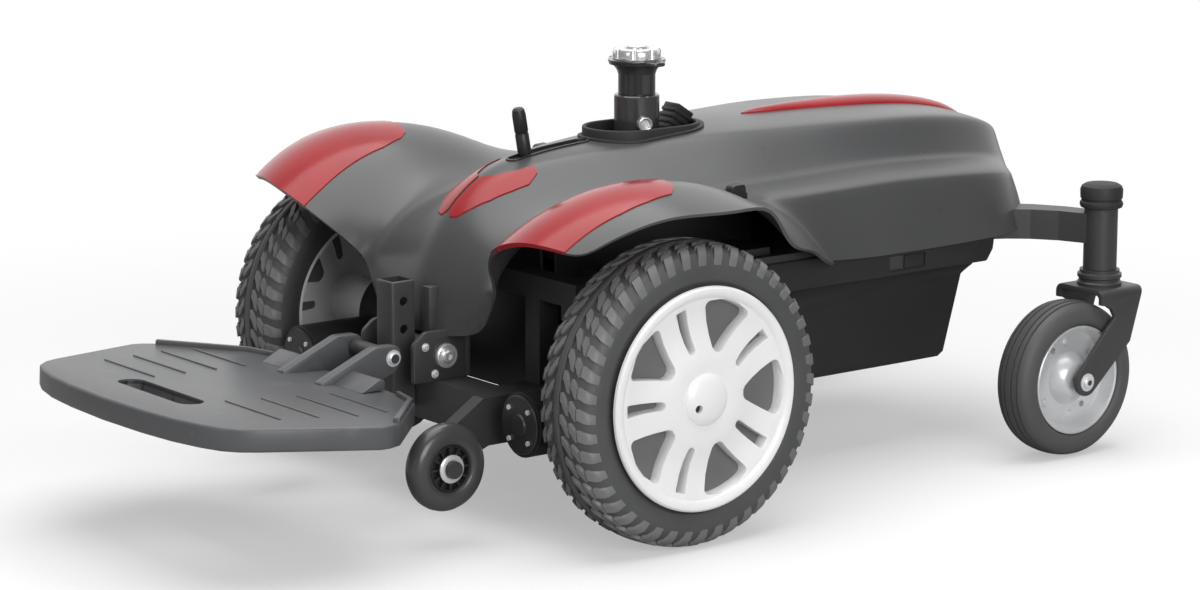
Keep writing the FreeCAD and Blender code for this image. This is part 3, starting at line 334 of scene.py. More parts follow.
def carve(piece: bpy.types.Object, cutter: bpy.types.Object, cut: Cut = Cut.AWAY) -> None:
    """Cut a piece with another, and use the other up.

    Args:
        piece: The piece that stays.
        cutter: The piece that is used up.
        cut: Whether the overlap is cut away or kept.
    """
    move = piece.modifiers.new("carved", "BOOLEAN")
    move.operation = cut.value
    move.object = cutter
    move.solver = "EXACT"
    apply_modifiers(piece)
    bpy.data.objects.remove(cutter)


def join(name: str, parts: Sequence[bpy.types.Object]) -> bpy.types.Object:
    """Join pieces into one object.

    Args:
        name: The joined piece's name.
        parts: The pieces; the first keeps its object.

    Returns:
        The joined piece.
    """
    deselect()
    for part in parts:
        part.select_set(True)
    bpy.context.view_layer.objects.active = parts[0]
    bpy.ops.object.join()
    parts[0].name = name
    parts[0].data.name = name
    return parts[0]


def copy_of(piece: bpy.types.Object, name: str) -> bpy.types.Object:
    """A copy of a piece with its own mesh.

    Args:
        piece: The piece.
        name: The copy's name.

    Returns:
        The copy.
    """
    twin = piece.copy()
    twin.data = piece.data.copy()
    twin.name = name
    twin.data.name = name
    bpy.context.scene.collection.objects.link(twin)
    return twin


def turned_copy(piece: bpy.types.Object, name: str, degrees: float, centre: Sequence[float],
                turn: Turn) -> bpy.types.Object:
    """A copy turned about a line through a point, with the turn in its mesh.

    Args:
        piece: The piece.
        name: The copy's name.
        degrees: How far it is turned.
        centre: The point, in metres.
        turn: The line's direction.

    Returns:
        The copy.
    """
    twin = copy_of(piece, name)
    place = Matrix.Translation(Vector(centre))
    twin.data.transform(place @ Matrix.Rotation(math.radians(degrees), 4, turn.vector) @ place.inverted())
    return twin


def mirror_image(piece: bpy.types.Object, name: str) -> bpy.types.Object:
    """A copy mirrored left to right, with its faces still pointing outwards.

    Args:
        piece: The piece.
        name: The copy's name.

    Returns:
        The copy.
    """
    twin = copy_of(piece, name)
    twin.data.transform(Matrix.Scale(-1.0, 4, Turn.X.vector))
    twin.data.flip_normals()
    return twin


def smooth(piece: bpy.types.Object, angle: float = 35.0) -> None:
    """Shade a piece smooth apart from its sharp edges.

    Args:
        piece: The piece.
        angle: Edges sharper than this, in degrees, stay sharp.
    """
    deselect()
    bpy.context.view_layer.objects.active = piece
    piece.select_set(True)
    bpy.ops.object.shade_smooth_by_angle(angle=math.radians(angle))


# Shader groups


def new_group(name: str, inputs: Sequence[tuple[str, float]],
              outputs: Sequence[str]) -> bpy.types.ShaderNodeTree:
    """Start a shader group that reads object coordinates.

    Args:
        name: The group's name.
        inputs: Each number input's name and default.
        outputs: Each number output's name.

    Returns:
        The group, with its input and output nodes.
    """
    group = bpy.data.node_groups.new(name, "ShaderNodeTree")
    group.interface.new_socket("Place", in_out="INPUT", socket_type="NodeSocketVector")
    for word, default in inputs:
        socket = group.interface.new_socket(word, in_out="INPUT", socket_type="NodeSocketFloat")
        socket.default_value = default
    for word in outputs:
        group.interface.new_socket(word, in_out="OUTPUT", socket_type="NodeSocketFloat")
    group.nodes.new("NodeGroupInput")
    group.nodes.new("NodeGroupOutput")
    return group


def wire(tree: bpy.types.NodeTree, source: bpy.types.NodeSocket, target: bpy.types.NodeSocket) -> None:
    """Link two sockets."""
    tree.links.new(source, target)


def number(tree: bpy.types.NodeTree, operation: str, first: object, second: object) -> bpy.types.NodeSocket:
    """Add a math node.

    Args:
        tree: The node tree.
        operation: The math node's operation.
        first: A socket or a number.
        second: A socket or a number.

    Returns:
        The result's socket.
    """
    node = tree.nodes.new("ShaderNodeMath")
    node.operation = operation
    for place, value in enumerate((first, second)):
        if isinstance(value, bpy.types.NodeSocket):
            wire(tree, value, node.inputs[place])
        else:
            node.inputs[place].default_value = value
    return node.outputs[0]


def noise(tree: bpy.types.NodeTree, place: bpy.types.NodeSocket, scale: bpy.types.NodeSocket,
          detail: float) -> bpy.types.NodeSocket:
    """Add a noise texture.

    Args:
        tree: The node tree.
        place: The coordinates.
        scale: The scale's socket.
        detail: Octaves.

    Returns:
        The noise from 0 to 1.
    """
    node = tree.nodes.new("ShaderNodeTexNoise")
    node.inputs["Detail"].default_value = detail
    wire(tree, place, node.inputs["Vector"])
    wire(tree, scale, node.inputs["Scale"])
    return node.outputs["Fac"]


def grain_group() -> None:
    """Moulded or powder-coated grain: a fine pebbled height and a soft mottling."""
    group = new_group("moulded_grain", (("Scale", 900.0), ("Mottle Scale", 9.0)), ("Height", "Mottle"))
    ends = {node.bl_idname: node for node in group.nodes}
    source, target = ends["NodeGroupInput"], ends["NodeGroupOutput"]
    cells = group.nodes.new("ShaderNodeTexVoronoi")
    cells.feature = "F1"
    wire(group, source.outputs["Place"], cells.inputs["Vector"])
    wire(group, source.outputs["Scale"], cells.inputs["Scale"])
    fine = noise(group, source.outputs["Place"], source.outputs["Scale"], 3.0)
    height = number(group, "ADD", number(group, "MULTIPLY", cells.outputs["Distance"], 0.6), fine)
    broad = noise(group, source.outputs["Place"], source.outputs["Mottle Scale"], 4.0)
    wire(group, height, target.inputs["Height"])
    wire(group, broad, target.inputs["Mottle"])


def wear_group() -> None:
    """Light wear: a mask that is 1 in scattered thin scuffs and 0 elsewhere."""
    group = new_group("scuffs", (("Scale", 30.0), ("Spread", 0.62)), ("Mask",))
    ends = {node.bl_idname: node for node in group.nodes}
    source, target = ends["NodeGroupInput"], ends["NodeGroupOutput"]
    patches = noise(group, source.outputs["Place"], source.outputs["Scale"], 8.0)
    strength = number(group, "SUBTRACT", patches, source.outputs["Spread"])
    sharp = number(group, "MULTIPLY", strength, 9.0)
    clamp = group.nodes.new("ShaderNodeClamp")
    wire(group, sharp, clamp.inputs["Value"])
    wire(group, clamp.outputs[0], target.inputs["Mask"])


@dataclass(frozen=True)
class Finish:
    """A finish: its colour, how it takes light, and the grain and wear on it."""

    name: str
    slot: str
    colour: Point
    roughness: float
    metallic: float = 0.0
    coat: float = 0.0
    grain_scale: float = 900.0
    grain_depth: float = 0.00004
    mottle: float = 0.10
    scuff: float = 0.0
    scuff_colour: Point = (0.3, 0.3, 0.3)
    specular: float = 0.5

    def material(self) -> bpy.types.Material:
        """Build the finish as a node material, once.

        Returns:
            The material.
        """
        made = bpy.data.materials.get(self.name + "_finish")
        if made:
            return made
        made = bpy.data.materials.new(self.name + "_finish")
        made.use_nodes = True
        tree = made.node_tree
        shader = tree.nodes["Principled BSDF"]
        shader.inputs["Metallic"].default_value = self.metallic
        shader.inputs["Coat Weight"].default_value = self.coat
        shader.inputs["Coat Roughness"].default_value = 0.08
        shader.inputs["Specular IOR Level"].default_value = self.specular
        place = tree.nodes.new("ShaderNodeTexCoord").outputs["Object"]
        grain = self.group_node(tree, "moulded_grain", place, {"Scale": self.grain_scale})
        bump = tree.nodes.new("ShaderNodeBump")
        bump.inputs["Strength"].default_value = 1.0
        bump.inputs["Distance"].default_value = self.grain_depth
        wire(tree, grain.outputs["Height"], bump.inputs["Height"])
        wire(tree, bump.outputs["Normal"], shader.inputs["Normal"])
        colour = self.mottled(tree, grain.outputs["Mottle"])
        rough = number(tree, "MULTIPLY_ADD", grain.outputs["Mottle"], 0.16)
        rough.node.inputs[2].default_value = self.roughness - 0.08
        if self.scuff > 0:
            marks = self.group_node(tree, "scuffs", place, {})
            mask = number(tree, "MULTIPLY", marks.outputs["Mask"], self.scuff)
            mix = tree.nodes.new("ShaderNodeMix")
            mix.data_type = "RGBA"
            wire(tree, mask, mix.inputs["Factor"])
            wire(tree, colour, mix.inputs["A"])
            mix.inputs["B"].default_value = (*self.scuff_colour, 1.0)
            colour = mix.outputs["Result"]
        wire(tree, colour, shader.inputs["Base Color"])
        wire(tree, rough, shader.inputs["Roughness"])
        return made

    def group_node(self, tree: bpy.types.NodeTree, name: str, place: bpy.types.NodeSocket,
                   values: dict[str, float]) -> bpy.types.Node:
        """Place a shader group in the material.

        Args:
            tree: The material's nodes.
            name: The group's name.
            place: The coordinates.
            values: Its inputs by name.

        Returns:
            The group's node.
        """
        node = tree.nodes.new("ShaderNodeGroup")
        node.node_tree = bpy.data.node_groups[name]
        wire(tree, place, node.inputs["Place"])
        for word, value in values.items():
            node.inputs[word].default_value = value
        return node

    def mottled(self, tree: bpy.types.NodeTree, mottle: bpy.types.NodeSocket) -> bpy.types.NodeSocket:
        """The colour, slightly lighter and darker in soft patches.

        Args:
            tree: The material's nodes.
            mottle: The patches, from 0 to 1.

        Returns:
            The colour's socket.
        """
        ramp = tree.nodes.new("ShaderNodeValToRGB")
        dark = [part * (1 - self.mottle) for part in self.colour]
        light = [min(1.0, part * (1 + self.mottle)) for part in self.colour]
        ramp.color_ramp.elements[0].position = 0.3
        ramp.color_ramp.elements[0].color = (*dark, 1.0)
        ramp.color_ramp.elements[1].position = 0.7
        ramp.color_ramp.elements[1].color = (*light, 1.0)
        wire(tree, mottle, ramp.inputs["Fac"])
        return ramp.outputs["Color"]


SHROUD = Finish("shroud_plastic", "shroud_plastic", (0.070, 0.071, 0.073), 0.30, grain_scale=1100,
                grain_depth=0.00003, mottle=0.05)
TUB = Finish("tub_plastic", "tub_plastic", (0.028, 0.028, 0.029), 0.45, grain_scale=800, mottle=0.08,
             specular=0.25)
RED_LENS = Finish("red_lens", "red_lens", (0.33, 0.016, 0.021), 0.2, specular=0.35, grain_scale=260,
                  grain_depth=0.00006, mottle=0.12)
FRAME_STEEL = Finish("frame_steel", "frame_steel", (0.048, 0.048, 0.049), 0.42, grain_scale=1500,
                     grain_depth=0.00003, mottle=0.12)
POST_STEEL = Finish("post_steel", "post_steel", (0.036, 0.036, 0.037), 0.22, coat=0.6, grain_scale=500,
                    grain_depth=0.00001)
BRIGHT_STEEL = Finish("bright_steel", "bright_steel", (0.80, 0.80, 0.81), 0.22, metallic=0.7,
                      grain_scale=400, grain_depth=0.00001, mottle=0.04)
BLACK_RUBBER = Finish("black_rubber", "black_rubber", (0.022, 0.022, 0.023), 0.62, grain_scale=700,
                      mottle=0.2)
BLACK_PLASTIC = Finish("black_plastic", "black_plastic", (0.020, 0.020, 0.021), 0.4, grain_scale=1100,
                       mottle=0.15)
FOOTPLATE_PLASTIC = Finish("footplate_plastic", "footplate_plastic", (0.092, 0.094, 0.098), 0.38,
                           grain_scale=600, grain_depth=0.00008, mottle=0.10, scuff=0.12)
BATTERY_CASE = Finish("battery_case", "battery_case", (0.03, 0.03, 0.03), 0.45)
MOTOR_HOUSING = Finish("motor_housing", "motor_housing", (0.022, 0.022, 0.023), 0.35, grain_scale=900)
DRIVE_TYRE = Finish("drive_tyre", "drive_tyre", (0.072, 0.073, 0.075), 0.5, grain_scale=500,
                    grain_depth=0.00006, mottle=0.16, scuff=0.2, scuff_colour=(0.11, 0.11, 0.11))
SILVER_RIM = Finish("silver_rim", "silver_rim", (0.90, 0.90, 0.90), 0.34, coat=0.3, grain_scale=1800,
                    grain_depth=0.00001, mottle=0.03)
# The tyre's rubber painted lighter for the tread blocks: a painted highlight where light falls on the tread
TREAD_PAINTED_HIGHLIGHT = Finish("tread_rubber", "drive_tyre", (0.16, 0.161, 0.163), 0.45, grain_scale=500,
                      grain_depth=0.00005, mottle=0.14)
# The rim's silver darkened: painted shade of the barrel's inside, for the panel behind the spokes
RIM_PAINTED_SHADE = Finish("rim_shade", "silver_rim", (0.15, 0.15, 0.152), 0.5, mottle=0.05)
CASTER_TYRE = Finish("caster_tyre", "caster_tyre", (0.086, 0.086, 0.088), 0.55, grain_scale=600,
                     grain_depth=0.00005, mottle=0.14, scuff=0.2, scuff_colour=(0.10, 0.10, 0.10))
ZINC_RIM = Finish("zinc_rim", "zinc_rim", (0.74, 0.75, 0.76), 0.32, metallic=0.4, grain_scale=300,
                  grain_depth=0.00002, mottle=0.10)
ANTI_TIP_TYRE = Finish("anti_tip_tyre", "anti_tip_tyre", (0.060, 0.060, 0.062), 0.35, coat=0.2,
                       grain_scale=500, grain_depth=0.00002, mottle=0.10)
CORE_PLASTIC = Finish("core_plastic", "core_plastic", (0.022, 0.022, 0.023), 0.38, grain_scale=900)

FINISH_OF_SLOT = {finish.slot: finish for finish in (
    SHROUD, TUB, RED_LENS, FRAME_STEEL, POST_STEEL, BRIGHT_STEEL, BLACK_RUBBER, BLACK_PLASTIC,
    FOOTPLATE_PLASTIC, BATTERY_CASE, MOTOR_HOUSING, DRIVE_TYRE, SILVER_RIM, CASTER_TYRE, ZINC_RIM,
    ANTI_TIP_TYRE, CORE_PLASTIC)}


def dress(piece: bpy.types.Object, finish: Finish, body: str, *stands_for: str) -> None:
    """Give a finished piece its material, its body and the nodes it stands for.

    Args:
        piece: The piece.
        finish: Its finish.
        body: The body that it rides on.
        *stands_for: CAD nodes that it replaces.
    """
    piece.data.materials.clear()
    piece.data.materials.append(finish.material())
    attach(piece, body)
    if stands_for:
        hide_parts(*stands_for)
    log.info("%s rides on %s, %d faces", piece.name, body, len(piece.data.polygons))


# Places and shapes in millimetres

Outline = Sequence[tuple[float, float]]


def spot(x: float, y: float, z: float) -> Vector:
    """A point given in millimetres from the floor under the drive axle."""
    return Vector((x * MM, AXLE_Y + y * MM, z * MM))


def between(first: float, second: float, share: float) -> float:
    """The value a share of the way from the first to the second."""
    return first + (second - first) * share


def looked_up(table: Sequence[Sequence[float]], key: float) -> list[float]:
    """A table's row at any key, worked out between its rows.

    Args:
        table: Rows that start with their key, in rising order.
        key: The key looked for.

    Returns:
        The rest of the row.
    """
    for low, high in zip(table, table[1:]):
        if key <= high[0]:
            break
    share = (key - low[0]) / (high[0] - low[0])
    return [between(a, b, share) for a, b in zip(low[1:], high[1:])]


def on_circle(middle: tuple[float, float], radius: float, degrees: float) -> tuple[float, float]:
    """A point on a circle, counted from the first of its two lines towards the second."""
    angle = math.radians(degrees)
    return middle[0] + radius * math.cos(angle), middle[1] + radius * math.sin(angle)


def along(start: float, profile: Outline) -> list[tuple[float, float]]:
    """A profile of (place, radius) moved along its line."""
    return [(start + place, radius) for place, radius in profile]


def both_halves(middle: float, half: Outline) -> list[tuple[float, float]]:
    """A closed profile from its one half.

    Args:
        middle: Where its middle is along its line.
        half: Points as (distance from the middle, radius), from the middle outwards.

    Returns:
        The profile's points.
    """
    near = along(middle, half)
    far = [(middle - place, radius) for place, radius in reversed(half)]
    return far + near[1:] + far[:1]


def span(side: Side, first: float, last: float) -> tuple[float, float]:
    """The lower and the higher x of a range that is measured outwards on a side."""
    ends = (side.value * first, side.value * last)
    return min(ends), max(ends)


def shaft(name: str, radius: float, start: Point, end: Point, steps: int = 40) -> bpy.types.Object:
    """A round bar between two places given in millimetres."""
    return add_rod(name, radius * MM, spot(*start), spot(*end), steps)


def slab(name: str, low: Point, high: Point) -> bpy.types.Object:
    """A block between two corners given in millimetres."""
    return add_block(name, spot(*low), spot(*high))


def spun(name: str, profile: Outline, centre: Point, turn: Turn, steps: int = 96) -> bpy.types.Object:
    """A profile in millimetres spun about a line.

    Args:
        name: The piece's name.
        profile: Points as (place along the line, radius).
        centre: A point on the line.
        turn: The line's direction.
        steps: Steps round.

    Returns:
        The new piece.
    """
    shift = AXLE_Y if turn is Turn.Y else 0.0
    points = [(place * MM + shift, radius * MM) for place, radius in profile]
    return lathe(name, points, spot(*centre), turn, steps)


def plate(name: str, outline: Outline, turn: Turn, low: float, high: float) -> bpy.types.Object:
    """A flat outline in millimetres extruded along one of the frame's lines.

    Args:
        name: The piece's name.
        outline: Its corners, (y, z) for a plate across X, (x, z) across Y and (x, y) across Z.
        turn: The line that the plate lies across.
        low: Where it starts along that line.
        high: Where it ends.

    Returns:
        The new closed piece.
    """
    corners = {
        Turn.X: [spot(low, u, v) for u, v in outline],
        Turn.Y: [spot(u, low, v) for u, v in outline],
        Turn.Z: [spot(u, v, low) for u, v in outline],
    }[turn]
    return prism(name, corners, turn.vector * (high - low) * MM)


def rounded(corners: Sequence[Point], steps: int = 4) -> list[tuple[float, float]]:
    """A closed outline with round corners.

    Args:
        corners: Each corner's two coordinates and its radius.
        steps: Steps round a corner.

    Returns:
        The outline's points.
    """
    points = []
    for index, (u, v, radius) in enumerate(corners):
        here = Vector((u, v))
        back = (Vector(corners[index - 1][:2]) - here).normalized()
        on = (Vector(corners[(index + 1) % len(corners)][:2]) - here).normalized()
        half = back.angle(on) / 2
        if radius <= 0 or half > math.radians(89):
            points.append((u, v))
            continue
        middle = here + (back + on).normalized() * radius / math.sin(half)
        start = here + back * radius / math.tan(half) - middle
        end = here + on * radius / math.tan(half) - middle
        for step in range(steps + 1):
            point = middle + start.lerp(end, step / steps).normalized() * radius
            points.append((point.x, point.y))
    return points


def grid_mesh(name: str, rows: Sequence[Sequence[Vector]]) -> bpy.types.Object:
    """Lay a flat grid's vertices on rows of points.

    Args:
        name: The piece's name.
        rows: Rows of points, all of one length, in millimetres from the floor under the axle.

    Returns:
        The grid.
    """
    deselect()
    bpy.ops.mesh.primitive_grid_add(x_subdivisions=len(rows[0]) - 1, y_subdivisions=len(rows) - 1, size=1.0)
    piece = adopt(name)
    flat = [point for row in rows for point in row]
    for vertex, point in zip(piece.data.vertices, flat):
        vertex.co = spot(*point)
    return piece


def thicken(piece: bpy.types.Object, inward: float, outward: float) -> None:
    """Give a surface thickness.

    Args:
        piece: The surface.
        inward: Millimetres behind it.
        outward: Millimetres in front of it.
    """
    wall = piece.modifiers.new("wall", "SOLIDIFY")
    wall.thickness = (inward + outward) * MM
    wall.offset = (outward - inward) / (outward + inward)
    wall.use_even_offset = True
    apply_modifiers(piece)


def swing(piece: bpy.types.Object, angle: float, place: Point, turn: Turn) -> None:
    """Turn a piece's mesh about a line.

    Args:
        piece: The piece.
        angle: How far, in radians.
        place: A place on the line in millimetres.
        turn: The line's direction.
    """
    centre = spot(*place)
    piece.data.transform(Matrix.Translation(centre) @ Matrix.Rotation(angle, 4, turn.vector)
                         @ Matrix.Translation(-centre))


def dress_pair(piece: bpy.types.Object, finish: Finish, body: str, *nodes: str) -> None:
    """Dress a left piece and add its mirror image on the right.

    Args:
        piece: The left piece, named without its side.
        finish: The finish of both.
        body: The body they ride on, without its side unless it is the chassis.
        *nodes: Nodes they stand for, without their side.
    """
    stem = piece.name
    twin = mirror_image(piece, stem + "_right")
    piece.name = stem + "_left"
    for side, part in ((Side.LEFT, piece), (Side.RIGHT, twin)):
        end = "_" + side.word
        rides = body if body == "chassis" else body + end
        dress(part, finish, rides, *[node + end for node in nodes])


def bolt_head(name: str, place: Point, turn: Turn, radius: float, height: float) -> bpy.types.Object:
    """A round bolt head with a hexagon socket, its washer behind it.

    Args:
        name: The piece's name.
        place: The middle of the face it sits on.
        turn: The line it lies along.
        radius: The head's radius.
        height: The head's height; below 0 it points the other way.

    Returns:
        The bolt head.
    """
    base = place[turn.value]
    washer_r = radius * 1.45
    profile = ((base, 0.0), (base, washer_r), (base + height * 0.18, washer_r), (base + height * 0.2, radius),
               (base + height * 0.8, radius), (base + height, radius * 0.8), (base + height, 0.0))
    head = spun(name, profile, place, turn, 40)
    deep, past = list(place), list(place)
    deep[turn.value] = base + height * 0.4
    past[turn.value] = base + height * 1.4
    carve(head, shaft("socket", radius * 0.5, tuple(deep), tuple(past), 6))
    smooth(head, 30)
    return head


# Sub-assemblies. Their sizes and places are in millimetres from the floor under the drive axle.


@dataclass(frozen=True)
class Oval:
    """An upright opening with straight sides and round ends, long along Y."""

    half_w: float
    ends: tuple[float, float]

    def grown(self, by: float) -> "Oval":
        """The same opening, larger all round."""
        return Oval(self.half_w + by, (self.ends[0] - by, self.ends[1] + by))

    def block(self, low: float, high: float) -> bpy.types.Object:
        """A block that fills the opening.

        Args:
            low: Its bottom.
            high: Its top.

        Returns:
            The block.
        """
        steps = 16
        outline = []
        for end, start_deg in ((self.ends[1] - self.half_w, 0), (self.ends[0] + self.half_w, 180)):
            for step in range(steps + 1):
                x, y = on_circle((0, end), self.half_w, start_deg + 180 * step / steps)
                outline.append(spot(x, y, low))
        return prism("oval", outline, (0, 0, (high - low) * MM))

    def ring(self, name: str, low: float, high: float, wall: float) -> bpy.types.Object:
        """A ring inside the opening.

        Args:
            name: The ring's name.
            low: Its bottom.
            high: Its top.
            wall: Its wall's thickness.

        Returns:
            The ring.
        """
        ring = self.block(low, high)
        ring.name = name
        carve(ring, self.grown(-wall).block(low - 5, high + 5))
        return ring


@dataclass(frozen=True)
class Shroud:
    """The moulded shroud with its openings, and its three kinds of lens."""

    wall: float = 3.5
    crease: float = 0.75
    collar: Oval = Oval(45, (105, 247))
    slot: Oval = Oval(8, (-4, 100))
    # y, deck half width, ridge z, deck z, valley x, valley z, ledge x, ledge z, hem x, hem z
    hood_sections: Sequence[Sequence[float]] = (
        (105, 46, 375, 371, 112, 325, 150, 321, 168, 300),
        (140, 52, 377, 373, 114, 326, 166, 322, 190, 262),
        (231, 72, 382, 378, 121, 331, 189, 325, 203, 247),
        (390, 100, 385, 380, 131, 338, 189, 328, 204, 247),
        (500, 104, 383, 378, 132, 335, 187, 324, 204, 248),
        (570, 98, 376, 370, 127, 329, 173, 317, 194, 249),
        (605, 91, 368, 362, 117, 323, 140, 309, 163, 252),
        (636, 78, 358, 352, 98, 315, 107, 301, 130, 256),
        (652, 62, 346, 341, 77, 308, 84, 294, 106, 260),
    )
    hood_rows: Sequence[float] = (105, 150, 180, 212, 245, 278, 330, 390, 450, 510, 560, 595, 620, 640, 652)
    # The rear end, from its upper edge down: share of the width, share of the height, y
    hood_end: Sequence[Point] = ((0.90, 0.80, 658), (0.87, 0.45, 661), (0.86, 0.0, 662))
    # Where the fender's tail meets the hood's side, from the valley to the hem
    tail_join: Sequence[Point] = ((168, 150, 325), (196, 172, 331), (203, 207, 314), (204, 243, 286),
                                  (206, 276, 251))
    # The tail's outer lip beside those places, and how far the tail is arched between
    tail_lip: Sequence[Sequence[float]] = ((294, 142, 298, 20), (272, 182, 284, 11), (248, 220, 275, 5),
                                           (228, 252, 256, 2), (212, 278, 248, 0))
    tail_shares: Sequence[float] = (0.14, 0.30, 0.47, 0.65, 0.86, 1.0)
    # Nose and apron, from the apron's bottom edge up and back:
    # ridge y, ridge z, deck x, deck y, deck z, valley x, valley y, valley z
    nose_rows: Sequence[Sequence[float]] = (
        (-126, 191, 46, -124, 192, 98, -109, 203),
        (-126, 222, 50, -121, 224, 112, -110, 230),
        (-119, 262, 48, -111, 264, 120, -110, 252),
        (-100, 300, 38, -90, 301, 117, -88, 281),
        (-70, 332, 29, -61, 329, 108, -60, 298),
        (-36, 354, 25, -33, 348, 101, -30, 308),
        (0, 365, 28, 0, 359, 99, 2, 315),
        (55, 372, 38, 55, 367, 104, 52, 321),
    )
    apron_rows: int = 2
    # The fender's arch: its middle in y and z, where it starts in x, and where its rows end in y
    arch_middle: tuple[float, float] = (-6, 115)
    fender_inner_x: float = 142
    fender_back_y: float = 106
    # The share of the fender's width past which its outer lip droops
    droop_from: float = 0.62
    # Columns across the fender: share of the width, radius about the arch's middle, front edge's y,
    # how far the front edge drops
    fender_columns: Sequence[Sequence[float]] = (
        (0.00, 210, -136, 0), (0.19, 241, -155, 0), (0.40, 257, -163, 0), (0.62, 262, -161, 0),
        (0.86, 254, -149, 2), (1.00, 246, -136, 8),
    )
    # Rows along the fender: share of the way from the front edge to the tail, outer lip's x, its droop
    fender_rows: Sequence[Point] = ((0.0, 302, 0), (0.11, 312, 1), (0.24, 321, 3), (0.38, 327, 5),
                                    (0.53, 331, 9), (0.76, 328, 15), (1.0, 312, 20))
    # Plan outlines of the lenses on the left side, and how far they sink in and stand proud
    fender_lens: Outline = ((171, -185), (176, -129), (182, -82), (187, -40), (197, -10), (208, 4), (228, 12),
                            (262, 9), (276, 3), (291, -12), (296, -45), (296, -80), (290, -125), (282, -185))
    fender_lens_depth: tuple[float, float] = (4.2, 1.4)
    nose_lens: Outline = ((2, -84), (8, -88), (17, -85), (27, -72), (37, -56), (44, -32), (47, -12), (40, 4),
                          (31, 7), (25, -16), (14, -36), (3, -43))
    nose_lens_depth: tuple[float, float] = (1.0, 1.4)

    @staticmethod
    def deck_columns(ridge: Point, deck: Point, valley: Point) -> list[Vector]:
        """Points across the deck and down its flank, from the ridge to the valley.

        Args:
            ridge: A place on the ridge.
            deck: The deck's edge beside it.
            valley: The bottom of the flank.

        Returns:
            Six points.
        """
        ridge, deck, valley = Vector(ridge), Vector(deck), Vector(valley)
        return [ridge, ridge.lerp(deck, 0.5) + Vector((0, 0, 0.8)), ridge.lerp(deck, 0.95),
                deck.lerp(valley, 0.07), deck.lerp(valley, 0.60) - Vector((0, 0, 2.5)), valley]

    @staticmethod
    def ledge_edge(ledge_x: float, ledge_z: float) -> tuple[float, float]:
        """The sharp outer edge of the ledge, as x and z."""
        return ledge_x + 2, ledge_z - 4

    def hood_row(self, y: float) -> list[Vector]:
        """Points across the rear hood at one place.

        Args:
            y: The place.

        Returns:
            Ten points, from the ridge to the hem.
        """
        (deck, ridge_z, deck_z, valley_x, valley_z, ledge_x, ledge_z, hem_x,
         hem_z) = looked_up(self.hood_sections, y)
        edge_x, edge_z = self.ledge_edge(ledge_x, ledge_z)
        row = self.deck_columns((0, y, ridge_z), (deck, y, deck_z), (valley_x, y, valley_z))
        row.append(Vector((ledge_x - 4, y, ledge_z + 1)))
        row.append(Vector((edge_x, y, edge_z)))
        row.append(Vector((between(ledge_x, hem_x, 0.62), y, between(ledge_z, hem_z, 0.5))))
        row.append(Vector((hem_x, y, hem_z)))
        return row

    def hood_grid(self) -> list[list[Vector]]:
        """The rear hood, its front corner gathered onto the line where the tail joins.

        Returns:
            Rows of points from the front to the rear end.
        """
        rows = [self.hood_row(y) for y in self.hood_rows]
        valley = 5
        for index, row in enumerate(rows[:len(self.tail_join) + 1]):
            last = valley + index if index < 4 else valley + index - 1
            join_place = row[valley] if index == 0 else Vector(self.tail_join[index - 1])
            for column in range(last, len(row)):
                row[column] = join_place.copy()
        upper = rows[-1]
        hem_z = upper[-1].z
        for width, height, y in self.hood_end:
            rows.append([Vector((point.x * width, y, hem_z + (point.z - hem_z) * height)) for point in upper])
        return rows

    def fender_row(self, share: float, lip_x: float, droop: float, valley: Vector) -> list[Vector]:
        """Points across the fender from above the valley to the outer lip.

        Args:
            share: How far the row is from the front edge to the tail.
            lip_x: The outer lip's x.
            droop: How far the outer lip hangs below its arch.
            valley: The row's point in the valley.

        Returns:
            One point for each of the fender's columns.
        """
        middle_y, middle_z = self.arch_middle
        row = []
        for width, radius, front_y, drop in self.fender_columns:
            x = between(self.fender_inner_x, lip_x, width)
            y = between(front_y, self.fender_back_y, share)
            arch = middle_z + math.sqrt(radius ** 2 - (y - middle_y) ** 2) - drop * (1 - share) ** 3
            arch -= droop * max(0.0, (width - self.droop_from) / (1 - self.droop_from)) ** 1.5
            floor = valley.z + 0.12 * (x - valley.x) if share > 0.2 else arch
            row.append(Vector((x, y, max(arch, floor))))
        return row

    def front_grids(self) -> tuple[list[list[Vector]], list[list[Vector]]]:
        """The nose, and the fender beside it, which starts above the apron.

        Returns:
            The rows of each.
        """
        nose = []
        for ridge_y, ridge_z, deck_x, deck_y, deck_z, valley_x, valley_y, valley_z in self.nose_rows:
            nose.append(self.deck_columns((0, ridge_y, ridge_z), (deck_x, deck_y, deck_z),
                                          (valley_x, valley_y, valley_z)))
        nose.append(self.hood_row(self.hood_rows[0])[:6])
        wing = []
        for row, (share, lip_x, droop) in zip(nose[self.apron_rows:], self.fender_rows):
            wing.append([row[5].copy()] + self.fender_row(share, lip_x, droop, row[5]))
        return nose, wing

    def tail_grid(self, start: list[Vector]) -> list[list[Vector]]:
        """The fender's tail.

        Args:
            start: The fender's last full row.

        Returns:
            Rows of points from there to the tail's tip.
        """
        rows = [start]
        for join_place, (x, y, z, arch) in zip(self.tail_join, self.tail_lip):
            inner, lip = Vector(join_place), Vector((x, y, z))
            rows.append([inner] + [inner.lerp(lip, width) + Vector((0, 0, 4 * arch * width * (1 - width)))
                                   for width in self.tail_shares])
        return rows

    def on_crease(self, point: Vector) -> bool:
        """Whether a corner of the cage is on the rear hood's valley or the edge of its ledge.

        Args:
            point: The corner, in metres.

        Returns:
            True on one of the two lines, away from their ends.
        """
        y = (point.y - AXLE_Y) / MM
        if not self.hood_sections[0][0] + 20 < y < self.hood_sections[-1][0] - 10:
            return False
        valley_x, valley_z, ledge_x, ledge_z = looked_up(self.hood_sections, y)[3:7]
        here = Vector((point.x / MM, point.z / MM))
        lines = ((valley_x, valley_z), self.ledge_edge(ledge_x, ledge_z))
        return any((here - Vector(line)).length < 0.5 for line in lines)

